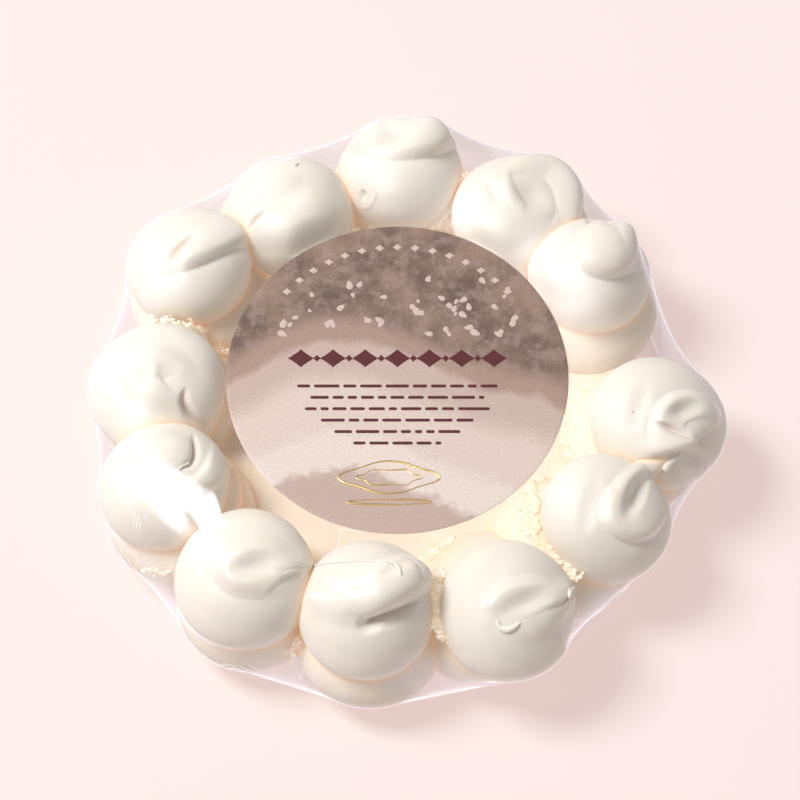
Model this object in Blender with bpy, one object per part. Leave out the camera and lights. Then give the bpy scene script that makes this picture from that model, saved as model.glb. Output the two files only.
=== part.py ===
"""A piped meringue nest, sealed in clear shrink film, with a round paper label on the film.

The nest is a ring of twelve upper kisses on a ring of twelve lower ones, round a dished floor.
Film is drawn tight over it, bridges the gaps between the kisses and spans the hollow, where it
lies flat under the label. The sealed pack is one closed solid out to its film, and the label is a
second one. Everything below is in millimetres until the meshes are written, and +Z is up.
"""

import math

import bpy
import numpy as np

MILLIMETRE = 0.001

# Driving dimensions of the pack.
LABEL_RADIUS = 63.8
LABEL_THICKNESS = 0.3
LABEL_HEIGHT = 45.7  # underside of the paper
LABEL_CENTRE = (-1.0, 1.5)  # stuck on by hand, a little off the middle of the ring
TOUCHING_GAP = 0.3  # kept between pieces that touch, and between film and meringue
FLAT_MARGIN = 0.6  # the film is flat this far past the label's edge

# The two rings of kisses. A kiss is piped leaning in over the hollow.
UPPER_HEIGHT = 34.0  # of a kiss's widest level
UPPER_TOP = 22.0  # from there up to its crown
UPPER_UNDER = 23.0  # and down to its foot, which is sunk in the ring below
LOWER_HEIGHT = 17.0
LOWER_TOP = 18.0
LOWER_UNDER = 17.0
INWARD_LEAN = 0.24  # shift towards the middle for each unit of height
PRESSED_SLOPE = 2.4  # of the film where it leaves the label's edge over a kiss
PRESSED_BLEND = 3.0  # how softly the film presses a kiss back there
FOOT_INSET = 6.0  # from a lower kiss's widest circle in to its flat underside
ARCH_UP = 38.0  # how far the loose film stands above the kisses before it is tightened
ARCH_OUT = 32.0  # and outside them
CLING_REACH = 4.0  # film nearer than this to an upper kiss clings to it
HOOP_SHARE = (0.25, 0.72)  # of the film's pull that runs round the ring: by the label, outside

# The swirls were all piped facing the front. They are laid out on a face plane that leans this
# far back from level: p runs right, q runs up the plane.
FACE_LEAN = math.radians(26.0)

# Resolution of the solid, and rounds of working on it.
COLUMNS = 150
ROWS = 30
CHART_TURNS = 108  # directions in which each kiss is measured
CHART_TILTS = 72
LABEL_SIDES = 72
SHAPE_ROUNDS = 420  # rounds of tightening the film
FOOT_ROUNDS = 400  # and its foot

FACE = np.array(
    [
        [1.0, 0.0, 0.0],
        [0.0, math.cos(FACE_LEAN), math.sin(FACE_LEAN)],
        [0.0, -math.sin(FACE_LEAN), math.cos(FACE_LEAN)],
    ]
)


def kiss(bearing, reach, radius, strands=(), laps=(), hollows=()):
    """One upper kiss: its bearing in degrees, its distance from the middle and its radius.

    A strand is (blend, points), each point being (p, q, strand radius, how far it stands proud).
    A lap is (points, lip, fade, crispness), each point being (p, q, height): the edge of foam that
    lies over foam, raised on the left of its line. A hollow is (p, q, half length, half width,
    heading in degrees, depth).
    """
    turn = math.radians(bearing)
    return {
        "centre": np.array([reach * math.cos(turn), reach * math.sin(turn), UPPER_HEIGHT]),
        "radius": radius,
        "top": UPPER_TOP,
        "under": UPPER_UNDER,
        "lean": (-INWARD_LEAN * math.cos(turn), -INWARD_LEAN * math.sin(turn)),
        "strands": strands,
        "laps": laps,
        "hollows": hollows,
    }


def plain_kiss(bearing, reach, radius, height=LOWER_HEIGHT, top=LOWER_TOP, under=LOWER_UNDER):
    """One lower kiss, a squat round blob with nothing of its swirl showing."""
    plain = kiss(bearing, reach, radius)
    plain["centre"][2] = height
    plain.update(top=top, under=under, lean=(0.0, 0.0))
    return plain


# Clockwise from the back. Each has the swirl that the nozzle left on it. Under the ninth a second
# coil of its lower kiss shows.
UPPER_RING = [
    kiss(  # 1, a scooped cap that hooks round to the right
        90, 95, 24.0,
        strands=[(2.4, [(-8, 8, 4, 0.5), (2, 9.5, 7, 2.2), (10, 12, 9, 4.6), (9, 17, 7, 4.2),
                        (0, 18.5, 5, 2.2)])],
        laps=[([(-17, 6.5, 0.8), (-9, 4, 1.2), (0, 4, 1.8), (9, 5, 2.6), (16, 7, 3.2), (22, 10, 3)],
               3.4, 8.0, 0.6)],
        hollows=[(-1, 14, 13, 6.5, 24, 2.8), (-17, 15, 11, 8, 50, 3.6)],
    ),
    kiss(  # 2, a wide shallow bowl inside a broad rim
        60, 88.5, 24.5,
        strands=[(3.0, [(-9, 15, 5, 0.8), (-1, 18, 5, 1.6), (6, 18.5, 6, 2.2), (14, 16.5, 8, 3.0),
                        (20, 9, 8.5, 3.2), (21, -1, 7, 1.8)]),
                 (2.0, [(-3.8, 14.6, 1.6, 0.5), (-4.4, 10.5, 3.4, 1.3), (-2.4, 6.5, 3.4, 1.2),
                        (1.4, 3, 2.4, 0.3)])],
        laps=[([(-4.5, 14.4, 0.4), (3, 15.6, 1.8), (10, 14, 2.4), (14.5, 8, 2.4), (15, 0, 1.6),
                (11, -7, 0.6)], 4.5, 5.0, 0.35)],
        hollows=[(6, 7, 10, 8, -25, 2.6), (-9, 8, 7, 3.2, -65, 1.7)],
    ),
    kiss(  # 3, a round knob folded over to the back
        35, 88, 23.3,
        strands=[(1.2, [(2, 8, 10, 4.4), (5, 10, 11.5, 7.4), (6.8, 11.8, 11.6, 8.0)])],
        laps=[([(-5, 16, 0.8), (-6.8, 10, 2), (-5.6, 4, 2.4), (-1, -0.4, 2.4), (8, -1.4, 2.4),
                (19, 2.4, 2.4)], 2.6, 7.0, 0.9),
              ([(12, 20, 0.6), (8.4, 17, 1.6), (7.6, 12, 1.6), (10, 7, 0.6)], 3.5, 5.0, 0.3)],
        hollows=[(-9, 0, 8, 5, -50, 0.8), (3, 18, 8, 3.4, -50, 2.2)],
    ),
    kiss(  # 4, a spiral with a pointed fold below it
        -7, 97.5, 25.3,
        laps=[([(18, -6, 1), (22.5, 2, 2), (19, 9, 2.6), (12, 12.6, 2.8), (3, 11.5, 3), (-3, 6, 2.8),
                (-5, -1, 1.8), (-4, -8, 0.6)], 4.5, 7.0, 0.35),
              ([(-9, -13, 0.6), (-3, -12, 2.4), (4, -10.2, 4.2), (10, -8, 4.8), (15, -4, 3)],
               3.0, 5.0, 0.8)],
        hollows=[(7, 5, 8, 4.6, 15, 2.6), (-9, 6, 12, 5, 70, 1.0), (12, -13, 9, 5, -30, 3.0)],
    ),
    kiss(  # 5, an oval loop drawn up to a tip
        -34, 92, 24.0,
        strands=[(1.4, [(5, 15, 5, 0.6), (11, 18, 4.6, 1.9), (16.5, 20.2, 3.6, 2.5),
                        (21, 22.8, 2.4, 1.4), (25.5, 26, 0.8, 0)])],
        laps=[([(12, 19, 1), (4, 16, 2.2), (-1.8, 10, 2.8), (-3, 2, 3), (1, -4.5, 3), (9, -7.5, 3.4),
                (17, -5, 3.4), (22, 2, 2.4)], 4.5, 9.0, 0.55)],
        hollows=[(9.5, 9.5, 11, 4.8, 62, 3.2), (-7, 6, 14, 5, 75, 1.0)],
    ),
    kiss(  # 6, an arch over a low lobe that ends in a nib, steep below it on the right
        -66, 97, 25.5,
        strands=[(2.6, [(4, -5, 9, 0.4), (12, -3, 8, 1.6), (19, 2.5, 4, 1.6), (23.4, 8.4, 1.4, 1.2)])],
        laps=[([(22.5, 8.5, 2.6), (14, 13.5, 2.6), (5, 14.5, 2.8), (-5, 11.5, 2.6), (-10.5, 5, 1.8),
                (-11, 0, 0.4)], 5.0, 8.0, 0.3),
              ([(10, 1.5, 0.6), (16, 3.6, 1.6), (21, 6.5, 2.4), (24, 10, 1)], 2.0, 3.5, 0.9)],
        hollows=[(5, 5, 12, 5, 18, 1.7), (-8, 14, 16, 5, 35, 0.8), (26, -7, 14, 7, 95, 5.0)],
    ),
    kiss(  # 7, a thick fold laid over a deep crease
        -98, 89.5, 25.0,
        strands=[(3.0, [(-17, 8, 9, 1.2), (-7, 10, 12, 3.6), (4, 12, 12.5, 5), (12, 13.5, 10, 4.8),
                        (18, 14, 8, 3)])],
        laps=[([(-3, 0.4, 0.6), (2, 0, 2.4), (9, 2.2, 4.6), (16, 5.2, 5.2), (24, 9, 4)], 4.6, 10.0, 0.8),
              ([(14.5, 10, 1), (13, 15, 1.8), (10.5, 19, 1.2)], 2.2, 5.0, 0.8)],
        hollows=[(1.5, -3, 6, 4.4, 15, 2.4), (10, -1, 9, 4, 15, 1.4)],
    ),
    kiss(  # 8, a soft oval loop
        -127, 95, 25.7,
        laps=[([(24, 8, 0.6), (18, 13.5, 1.6), (8, 17.4, 2), (-3, 15.6, 2.2), (-10, 9, 2.2),
                (-10.5, 2, 2.2), (-5, -3.6, 2.4), (4, -5.6, 2.2), (12, -5, 1), (18, -4, 0.2)],
               6.0, 9.0, 0.15),
              ([(11, -1.4, 0.5), (15, 1.8, 1.6), (19.5, 4.4, 1.8), (26, 5.4, 1)], 2.0, 3.5, 0.8)],
        hollows=[(4.5, 6.5, 10, 5.5, 12, 2.2), (-6, 16, 16, 5, 25, 0.6)],
    ),
    kiss(  # 9, a mound with a second lobe lapped over its right side
        -156.5, 96, 24.0,
        strands=[(3.0, [(-8, 11, 10, 0.8), (0, 15.5, 11, 2.6), (6, 15, 9, 2.6)])],
        laps=[([(7, 9, 0.4), (5.6, 4, 1.2), (7.5, -1, 2.4), (14, -2.4, 3), (20, -0.4, 3.2),
                (26, 4, 3)], 5.0, 11.0, 0.6)],
        hollows=[(-10, 7, 8, 6, 60, 1.0)],
    ),
    kiss(  # 10, a raised oval cap
        178.5, 91.5, 25.8,
        laps=[([(15.5, 3, 0.8), (15, 9, 1.4), (9, 15.5, 2), (1, 17.8, 2.6), (-8, 13, 3.2),
                (-12, 4.5, 3.4), (-9.5, -3, 3), (-1, -8, 2.6), (8, -10.5, 2)], 6.5, 12.0, 0.1)],
        hollows=[(-3, 5, 6, 4, 70, 0.8), (6, 7, 7, 4, 20, 0.8)],
    ),
    kiss(  # 11, a tongue that widens to the right
        146, 97, 23.7,
        laps=[([(-12, -2.6, 0.6), (-4, -2.6, 1.6), (4, -0.6, 2.6), (12, 3, 3.2), (20, 7, 3.4),
                (25, 9, 3)], 4.4, 9.0, 0.5),
              ([(8, 15, 0.4), (3, 10.5, 1.2), (-2.5, 5, 2), (-5.5, 1, 1)], 3.2, 5.0, 0.6)],
        hollows=[(-6, 11, 12, 4, 45, 0.8)],
    ),
    kiss(  # 12, two low ridges either side of a slit
        119, 88, 24.6,
        strands=[(5.0, [(-11, 9, 8, 0.8), (-3, 13.5, 9, 2.2), (5, 16, 8, 2.4), (13, 14, 9, 1)]),
                 (5.0, [(-12, -7, 7, 0.4), (0, -5, 10, 1.4), (10, -2, 10, 1.2)])],
        hollows=[(-3, 3.6, 13, 4.5, 18, 1.8)],
    ),
]
LOWER_RING = [
    plain_kiss(90, 92, 28), plain_kiss(60, 90, 28), plain_kiss(32, 84, 27),
    plain_kiss(-8, 88, 27), plain_kiss(-42, 82, 28), plain_kiss(-69, 85, 30),
    plain_kiss(-97, 91, 28), plain_kiss(-126, 93.5, 28), plain_kiss(-153, 91.5, 28),
    plain_kiss(176, 88, 27), plain_kiss(146, 91, 28), plain_kiss(118, 90, 28),
]
SECOND_COIL = plain_kiss(-153.5, 89, 21.5, height=26.0, top=13.0, under=13.0)


def fullness(points, shape):
    """1 on the plain dome, less inside it, growing in step with distance from its centre."""
    height = points[..., 2]
    raised = np.maximum(height, 0.0)
    across = np.hypot(
        points[..., 0] - shape["lean"][0] * raised, points[..., 1] - shape["lean"][1] * raised
    )
    rise = np.where(height > 0, shape["top"], shape["under"])
    return np.hypot(across / shape["radius"], height / rise)


def smooth_curve(points, count):
    """A Catmull-Rom curve through the rows of points, read at count even steps."""
    knots = np.asarray(points, float)
    knots = np.vstack([2 * knots[0] - knots[1], knots, 2 * knots[-1] - knots[-2]])
    spans = len(knots) - 3
    along = np.linspace(0, spans, count)
    span = np.minimum(along.astype(int), spans - 1)
    u = (along - span)[:, None]
    a, b, c, d = (knots[span + i] for i in range(4))
    cubic = 2 * b + (c - a) * u + (2 * a - 5 * b + 4 * c - d) * u**2
    return 0.5 * (cubic + (3 * b - a - 3 * c + d) * u**3)


def onto_dome(face_places, shape):
    """Points of the plain dome under places of the face plane, and which of them are on it."""
    near = np.zeros(len(face_places))
    far = np.full(len(face_places), 3 * shape["radius"])
    for _ in range(40):  # halves the range in which the surface lies
        middle = (near + far) / 2
        inside = fullness(np.column_stack([face_places, middle]) @ FACE, shape) < 1
        near = np.where(inside, middle, near)
        far = np.where(inside, far, middle)
    return np.column_stack([face_places, near]) @ FACE, near > 0.01


def strand_radius(directions, points, shape):
    """How far out a chain of balls along a strand reaches in each direction, 0 where it doesn't."""
    curve = smooth_curve(points, 40)
    places, on_it = onto_dome(curve[:, :2], shape)
    sunk = np.where(on_it, curve[:, 2] - curve[:, 3], 0.0)
    centres = places * (1 - sunk / np.linalg.norm(places, axis=1))[:, None]
    reach = np.zeros(directions.shape[:-1])
    for centre, ball in zip(centres, curve[:, 2]):
        along = directions @ centre
        under_root = along**2 - centre @ centre + ball**2
        hit = along + np.sqrt(np.maximum(under_root, 0))
        reach = np.maximum(reach, np.where((under_root > 0) & (along > 0), hit, 0))
    return reach


def smooth_larger(first, second, blend):
    """The larger of two numbers, with the corner between them rounded over a width of blend."""
    share = np.clip(0.5 + 0.5 * (first - second) / blend, 0, 1)
    return second + (first - second) * share + blend * share * (1 - share)


def lap_height(p, q, points, lip, fade, crisp):
    """The edge of foam lapped over foam, raised on the left of its line.

    Past the line it rises over the lip's width, as a quarter round where crisp is 1 and as a smooth
    step where it is 0, and then dies away over the fade. On the right of the line is a slight dip.
    """
    curve = smooth_curve(points, 40)
    steps = np.gradient(curve[:, :2], axis=0)
    steps /= np.linalg.norm(steps, axis=1)[:, None]
    tall = curve[:, 2] * np.minimum(1, np.sin(math.pi * np.linspace(0, 1, 40)) * 2.2) ** 0.7
    right, up = p[..., None] - curve[:, 0], q[..., None] - curve[:, 1]
    apart = right**2 + up**2
    nearest = apart.argmin(-1)[..., None]
    best = np.take_along_axis(apart, nearest, -1)
    near = np.exp(-(apart - best) / 6.0)
    height = (near * tall).sum(-1) / near.sum(-1)
    side = np.take_along_axis(steps[:, 0] * up - steps[:, 1] * right, nearest, -1)[..., 0]
    away = np.sqrt(best[..., 0])
    share = np.minimum(away / lip, 1)
    step = crisp * np.sqrt(1 - (1 - share) ** 2) + (1 - crisp) * share**2 * (3 - 2 * share)
    step = step * np.exp(-((np.maximum(away - lip, 0) / fade) ** 2))
    dip = -0.2 * (0.4 + 0.6 * crisp) * np.exp(-((away / (0.4 * lip)) ** 2))
    return height * np.where(side > 0, step, dip)


def kiss_radius(directions, shape):
    """Distance from a kiss's centre to its surface in each direction."""
    dome = 1 / fullness(directions, shape)
    face = (directions * dome[..., None]) @ FACE.T
    p, q = face[..., 0], face[..., 1]
    front = np.clip((face[..., 2] + 6) / 8, 0, 1)
    radius = dome
    for blend, points in shape["strands"]:
        radius = smooth_larger(strand_radius(directions, points, shape), radius, blend)
    for middle_p, middle_q, half_length, half_width, heading, depth in shape["hollows"]:
        turn = math.radians(heading)
        along = (p - middle_p) * math.cos(turn) + (q - middle_q) * math.sin(turn)
        aside = (q - middle_q) * math.cos(turn) - (p - middle_p) * math.sin(turn)
        bowl = np.maximum(1 - (along / half_length) ** 2 - (aside / half_width) ** 2, 0)
        radius = radius - depth * bowl**2 * front
    for points, lip, fade, crisp in shape["laps"]:
        radius = radius + lap_height(p, q, points, lip, fade, crisp) * front
    return pressed(radius, directions, shape)


def pressed(radius, directions, shape):
    """The radius held softly below the film that rises from the label's edge."""
    near = np.zeros_like(radius)
    far = np.full_like(radius, 80.0)
    for _ in range(24):
        middle = (near + far) / 2
        points = directions * middle[..., None] + shape["centre"]
        beyond = np.hypot(points[..., 0] - LABEL_CENTRE[0], points[..., 1] - LABEL_CENTRE[1])
        beyond = np.maximum(beyond - LABEL_RADIUS - FLAT_MARGIN, 0)
        inside = points[..., 2] < LABEL_HEIGHT - 2 * TOUCHING_GAP + PRESSED_SLOPE * beyond
        near = np.where(inside, middle, near)
        far = np.where(inside, far, middle)
    return -smooth_larger(-radius, -near, PRESSED_BLEND)


def radius_chart(shape, turns, tilts):
    """A kiss's radius on a grid of directions, tilt from +Z down and turn round it."""
    tilt, turn = np.meshgrid(
        np.linspace(0, math.pi, tilts), np.linspace(0, 2 * math.pi, turns + 1), indexing="ij"
    )
    directions = np.stack(
        [np.sin(tilt) * np.cos(turn), np.sin(tilt) * np.sin(turn), np.cos(tilt)], -1
    )
    return kiss_radius(directions, shape)


def read_chart(chart, offsets):
    """The charted radius towards each offset from the kiss's centre."""
    tilts, turns = chart.shape[0] - 1, chart.shape[1] - 1
    distance = np.linalg.norm(offsets, axis=-1)
    v = np.arccos(np.clip(offsets[:, 2] / distance, -1, 1)) / math.pi * tilts
    u = np.mod(np.arctan2(offsets[:, 1], offsets[:, 0]) / (2 * math.pi), 1) * turns
    row = np.minimum(v.astype(int), tilts - 1)
    column = np.minimum(u.astype(int), turns - 1)
    v, u = v - row, u - column
    upper = chart[row, column] * (1 - u) + chart[row, column + 1] * u
    lower = chart[row + 1, column] * (1 - u) + chart[row + 1, column + 1] * u
    return upper * (1 - v) + lower * v


def push_outside(film, kisses):
    """Moves every film point that is inside a kiss straight out from that kiss's centre."""
    for centre, chart, widest in kisses:
        offsets = film - centre
        distance = np.linalg.norm(offsets, axis=1)
        near = np.flatnonzero(distance < widest)
        limit = read_chart(chart, offsets[near]) + TOUCHING_GAP
        inside = distance[near] < limit
        moved = near[inside]
        film[moved] = centre + offsets[moved] * (limit[inside] / distance[moved])[:, None]


def cling(film, kisses):
    """Draws film that is only just clear of a kiss down onto it, so that its swirl shows."""
    pulled = film.copy()
    for centre, chart, widest in kisses:
        offsets = film - centre
        distance = np.linalg.norm(offsets, axis=1)
        limit = read_chart(chart, offsets) + TOUCHING_GAP
        clear = (distance - limit) / CLING_REACH
        close = np.flatnonzero((clear > 0) & (clear < 1))
        share = clear[close] ** 2
        length = limit[close] + (distance[close] - limit[close]) * share
        pulled[close] = centre + offsets[close] * (length / distance[close])[:, None]
    film[:] = pulled


def foot_outline(turns):
    """The film's foot on the ground: round the lower kisses, and straight across between them."""
    steps = np.stack([np.cos(turns), np.sin(turns)], -1)
    reach = np.zeros(len(turns))
    for shape in LOWER_RING:
        centre = shape["centre"][:2]
        foot = shape["radius"] - FOOT_INSET
        along = steps @ centre
        under_root = along**2 - centre @ centre + foot**2
        hit = along + np.sqrt(np.maximum(under_root, 0))
        reach = np.maximum(reach, np.where(under_root > 0, hit, 0))
    outline = steps * reach.max()
    for _ in range(FOOT_ROUNDS):  # draws a loop in from outside until it rests on the kisses
        outline = (np.roll(outline, 1, axis=0) + np.roll(outline, -1, axis=0)) / 2
        length = np.maximum((outline * steps).sum(axis=1), reach)
        outline = steps * length[:, None]
    return outline


def film_form(columns, rows, rounds):
    """The film from the label's edge out over the kisses and down to the foot.

    It starts as a loose arch over the ring. Each round moves a point towards the middle of its four
    neighbours, as a tight skin pulls, and then out of any kiss that it went into. Outside the crest
    most of the pull runs round the ring, so the film goes almost straight from kiss to kiss.
    """
    turns = np.arange(columns) * 2 * math.pi / columns
    steps = np.stack([np.cos(turns), np.sin(turns)], -1)
    flat = LABEL_RADIUS + FLAT_MARGIN
    seat = LABEL_HEIGHT - TOUCHING_GAP
    arch = np.linspace(0, 1, rows)[:, None]
    inner = np.array(LABEL_CENTRE) + flat * steps
    outer = foot_outline(turns)
    swell = np.sin(math.pi * arch)
    film = np.empty((rows, columns, 3))
    film[..., :2] = inner * (1 - arch)[..., None] + outer * arch[..., None]
    film[..., :2] += (ARCH_OUT * swell * arch)[..., None] * steps
    film[..., 2] = seat * (1 - arch**2) + ARCH_UP * swell
    kisses = []
    for shape in [*UPPER_RING, *LOWER_RING, SECOND_COIL]:
        chart = radius_chart(shape, CHART_TURNS, CHART_TILTS)
        kisses.append((shape["centre"], chart, chart.max() + 1.0))
    outside = np.clip((arch[1:-1, :, None] - 0.35) / 0.3, 0, 1)
    hoop = HOOP_SHARE[0] + (HOOP_SHARE[1] - HOOP_SHARE[0]) * outside
    for _ in range(rounds):
        round_it = (np.roll(film, 1, axis=1) + np.roll(film, -1, axis=1))[1:-1] / 2
        down_it = (film[2:] + film[:-2]) / 2
        film[1:-1] += 0.8 * (round_it * hoop + down_it * (1 - hoop) - film[1:-1])
        loose = film[1:-1].reshape(-1, 3)
        push_outside(loose, kisses)
        film[1:-1] = loose.reshape(film[1:-1].shape)
        film[..., 2] = np.maximum(film[..., 2], 0)
    loose = film[2:-2].reshape(-1, 3)
    cling(loose, kisses[: len(UPPER_RING)])
    film[2:-2] = loose.reshape(film[2:-2].shape)
    return film


def material(name, colour, roughness, coat=0.0):
    """A Principled material."""
    made = bpy.data.materials.new(name)
    made.use_nodes = True
    shader = made.node_tree.nodes["Principled BSDF"]
    shader.inputs["Base Color"].default_value = (*colour, 1.0)
    shader.inputs["Roughness"].default_value = roughness
    shader.inputs["Metallic"].default_value = 0.0
    shader.inputs["Coat Weight"].default_value = coat
    return made


def add_object(name, points, faces, finish):
    """A mesh object from points in millimetres, shaded smooth except at sharp edges."""
    mesh = bpy.data.meshes.new(name)
    mesh.from_pydata((np.asarray(points) * MILLIMETRE).tolist(), [], faces)
    mesh.materials.append(finish)
    mesh.shade_smooth()
    mesh.set_sharp_from_angle(angle=math.radians(50))
    made = bpy.data.objects.new(name, mesh)
    bpy.context.scene.collection.objects.link(made)
    return made


def pack_mesh(film):
    """Points and faces of the sealed pack: the film, a flat disc under the label, a flat base."""
    rows, columns = film.shape[:2]
    top_middle = film[0].mean(axis=0)
    base_middle = np.array([0.0, 0.0, 0.0])
    points = np.vstack([film.reshape(-1, 3), top_middle, base_middle])
    top, base = rows * columns, rows * columns + 1
    faces = []
    for column in range(columns):
        after = (column + 1) % columns
        faces.append((top, column, after))
        for row in range(rows - 1):
            here, below = row * columns, (row + 1) * columns
            faces.append((here + column, below + column, below + after, here + after))
        last = (rows - 1) * columns
        faces.append((base, last + after, last + column))
    return points, faces


def label_mesh(middle):
    """Points and faces of the label, a thin round disc."""
    turns = np.arange(LABEL_SIDES) * 2 * math.pi / LABEL_SIDES
    ring = np.stack([np.cos(turns), np.sin(turns)], -1) * LABEL_RADIUS + middle
    low = np.column_stack([ring, np.full(LABEL_SIDES, LABEL_HEIGHT)])
    high = np.column_stack([ring, np.full(LABEL_SIDES, LABEL_HEIGHT + LABEL_THICKNESS)])
    faces = [tuple(range(LABEL_SIDES, 2 * LABEL_SIDES)), tuple(reversed(range(LABEL_SIDES)))]
    for side in range(LABEL_SIDES):
        after = (side + 1) % LABEL_SIDES
        faces.append((side, after, LABEL_SIDES + after, LABEL_SIDES + side))
    return np.vstack([low, high]), faces


def build():
    for old in list(bpy.data.objects):
        bpy.data.objects.remove(old)
    film = film_form(COLUMNS, ROWS, SHAPE_ROUNDS)
    low, high = film.reshape(-1, 3).min(axis=0), film.reshape(-1, 3).max(axis=0)
    to_middle = -(low + high) / 2 * np.array([1.0, 1.0, 0.0])  # the origin is under the middle
    points, faces = pack_mesh(film)
    meringue = material("meringue_under_film", (0.90, 0.85, 0.76), 0.35, coat=0.6)
    add_object("wrapped_meringue", points + to_middle, faces, meringue)
    points, faces = label_mesh(np.array(LABEL_CENTRE))
    paper = material("label_paper", (0.36, 0.24, 0.21), 0.5)
    add_object("label", points + to_middle, faces, paper)
    print("pack size in mm:", np.round(high - low, 2), "moved by", np.round(to_middle, 2))


build()
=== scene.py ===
# %% [markdown]
# # A film-wrapped meringue nest
#
# The real thing is a pavlova base from a pastry shop: meringue piped as twelve big kisses on a ring
# of twelve more, round a smooth floor, dried in a cool oven, then sealed in clear shrink film with a
# round paper label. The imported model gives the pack's outer form and the label. This lesson puts the
# meringue, its crumbs and the film in their place.

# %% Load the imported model
import math

import bpy
import numpy as np
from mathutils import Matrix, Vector


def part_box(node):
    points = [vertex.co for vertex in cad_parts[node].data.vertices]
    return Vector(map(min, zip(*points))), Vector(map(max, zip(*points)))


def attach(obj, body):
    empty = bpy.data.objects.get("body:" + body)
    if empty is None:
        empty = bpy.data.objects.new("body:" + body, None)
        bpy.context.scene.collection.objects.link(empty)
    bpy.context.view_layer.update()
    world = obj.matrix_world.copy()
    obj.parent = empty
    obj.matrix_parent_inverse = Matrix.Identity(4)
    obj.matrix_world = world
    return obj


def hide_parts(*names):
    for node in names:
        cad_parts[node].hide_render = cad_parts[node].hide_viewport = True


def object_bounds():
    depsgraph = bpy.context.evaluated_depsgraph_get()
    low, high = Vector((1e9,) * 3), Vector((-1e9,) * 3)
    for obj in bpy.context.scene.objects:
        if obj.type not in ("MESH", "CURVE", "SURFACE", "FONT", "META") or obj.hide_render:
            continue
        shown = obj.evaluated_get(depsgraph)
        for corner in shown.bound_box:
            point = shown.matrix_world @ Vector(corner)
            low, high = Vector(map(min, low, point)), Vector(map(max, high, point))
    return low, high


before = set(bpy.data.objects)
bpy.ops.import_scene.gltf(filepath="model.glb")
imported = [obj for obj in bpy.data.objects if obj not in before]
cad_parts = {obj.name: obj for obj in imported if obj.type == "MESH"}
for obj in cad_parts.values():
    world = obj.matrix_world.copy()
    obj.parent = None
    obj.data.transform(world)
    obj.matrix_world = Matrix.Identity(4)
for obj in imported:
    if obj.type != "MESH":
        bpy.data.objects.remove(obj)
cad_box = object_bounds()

MM = 0.001
started_low, started_high = np.array(cad_box[0]), np.array(cad_box[1])
print("pack in mm:", np.round((started_high - started_low) / MM, 1))

# %% [markdown]
# ## Where things are
#
# The label is stuck on by hand, a little off the middle of the ring, so the ring's middle is worked
# out from the label's box. All shapes below are in millimetres from that middle, at the height of
# the table, and are moved to their place when they become meshes.

# %% Middle of the ring
LABEL_OFF_MIDDLE = np.array([-1.0, 1.5])
label_low, label_high = (np.array(corner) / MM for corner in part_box("label"))
label_radius = (label_high[0] - label_low[0]) / 2
label_underside = label_low[2]
ring_middle = np.append((label_low[:2] + label_high[:2]) / 2 - LABEL_OFF_MIDDLE, 0.0)
TOUCHING_GAP = 0.3
film_seat = label_underside - TOUCHING_GAP
print("ring middle in mm:", np.round(ring_middle, 2), "film under the label at", round(film_seat, 2))

# %% [markdown]
# ## Camera and studio
#
# A pack shot from high above: the camera looks down at 64 degrees from 1.6 metres, with a long lens.
# The floor is a light table, a sheet that glows a little, so shadows on it stay pale. One softbox
# high on the left models the swirls. Polarised light keeps it out of the film, which shows only a
# small window light in front on the left and a tall card behind on the left. The rest is a dim room.

# %% Camera
LOOK_DOWN = math.radians(64.0)
CAMERA_DISTANCE = 1600.0
LENS_MM = 191.7
SENSOR_MM = 36.0
AIM_HEIGHT = 30.0


def in_scene(point):
    """A point in millimetres from the ring's middle, as metres in the scene."""
    return Vector((np.asarray(point, float) + ring_middle) * MM)


aim = np.array([0.0, 0.0, AIM_HEIGHT])
back_off = np.array([0.0, -math.cos(LOOK_DOWN), math.sin(LOOK_DOWN)]) * CAMERA_DISTANCE
camera_data = bpy.data.cameras.new("camera")
camera_data.lens = LENS_MM
camera_data.sensor_width = SENSOR_MM
camera = bpy.data.objects.new("camera", camera_data)
camera.location = in_scene(aim + back_off)
camera.rotation_euler = (math.pi / 2 - LOOK_DOWN, 0.0, 0.0)
bpy.context.scene.collection.objects.link(camera)
bpy.context.scene.camera = camera
print("camera at", tuple(round(value, 3) for value in camera.location))

# %% Lights
SOFTBOXES = [  # name, direction from the nest, distance in mm, side in m, watts, what it shows in
    ("key_softbox", (-0.50, 0.16, 0.85), 2400.0, 0.80, 54.0, "shading"),
    ("window_light", (-0.605, -0.277, 0.743), 1500.0, 0.24, 34.0, "gloss"),
    ("tall_card", (-0.80, 0.30, 0.52), 1200.0, 0.75, 8.0, "gloss"),
]
ROOM_COLOUR = (1.0, 0.97, 0.935)
ROOM_STRENGTH = 0.36

bpy.context.scene.view_settings.view_transform = "Standard"


def softbox(name, towards, distance, side, watts, shows_in):
    """A square area light that faces the nest, seen either in the shading or in the gloss."""
    data = bpy.data.lights.new(name, "AREA")
    data.shape = "SQUARE"
    data.size = side
    data.energy = watts
    data.color = (1.0, 0.99, 0.975)
    lamp = bpy.data.objects.new(name, data)
    unit = np.array(towards) / np.linalg.norm(towards)
    lamp.location = in_scene(unit * distance)
    lamp.rotation_euler = Vector(unit).to_track_quat("Z", "Y").to_euler()
    lamp.visible_glossy = shows_in == "gloss"
    lamp.visible_diffuse = shows_in == "shading"
    bpy.context.scene.collection.objects.link(lamp)


for lamp_row in SOFTBOXES:
    softbox(*lamp_row)
room = bpy.data.worlds.new("room")
room.use_nodes = True
room.node_tree.nodes["Background"].inputs["Color"].default_value = (*ROOM_COLOUR, 1.0)
room.node_tree.nodes["Background"].inputs["Strength"].default_value = ROOM_STRENGTH
bpy.context.scene.world = room
print("lights:", [lamp_row[0] for lamp_row in SOFTBOXES])

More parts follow.
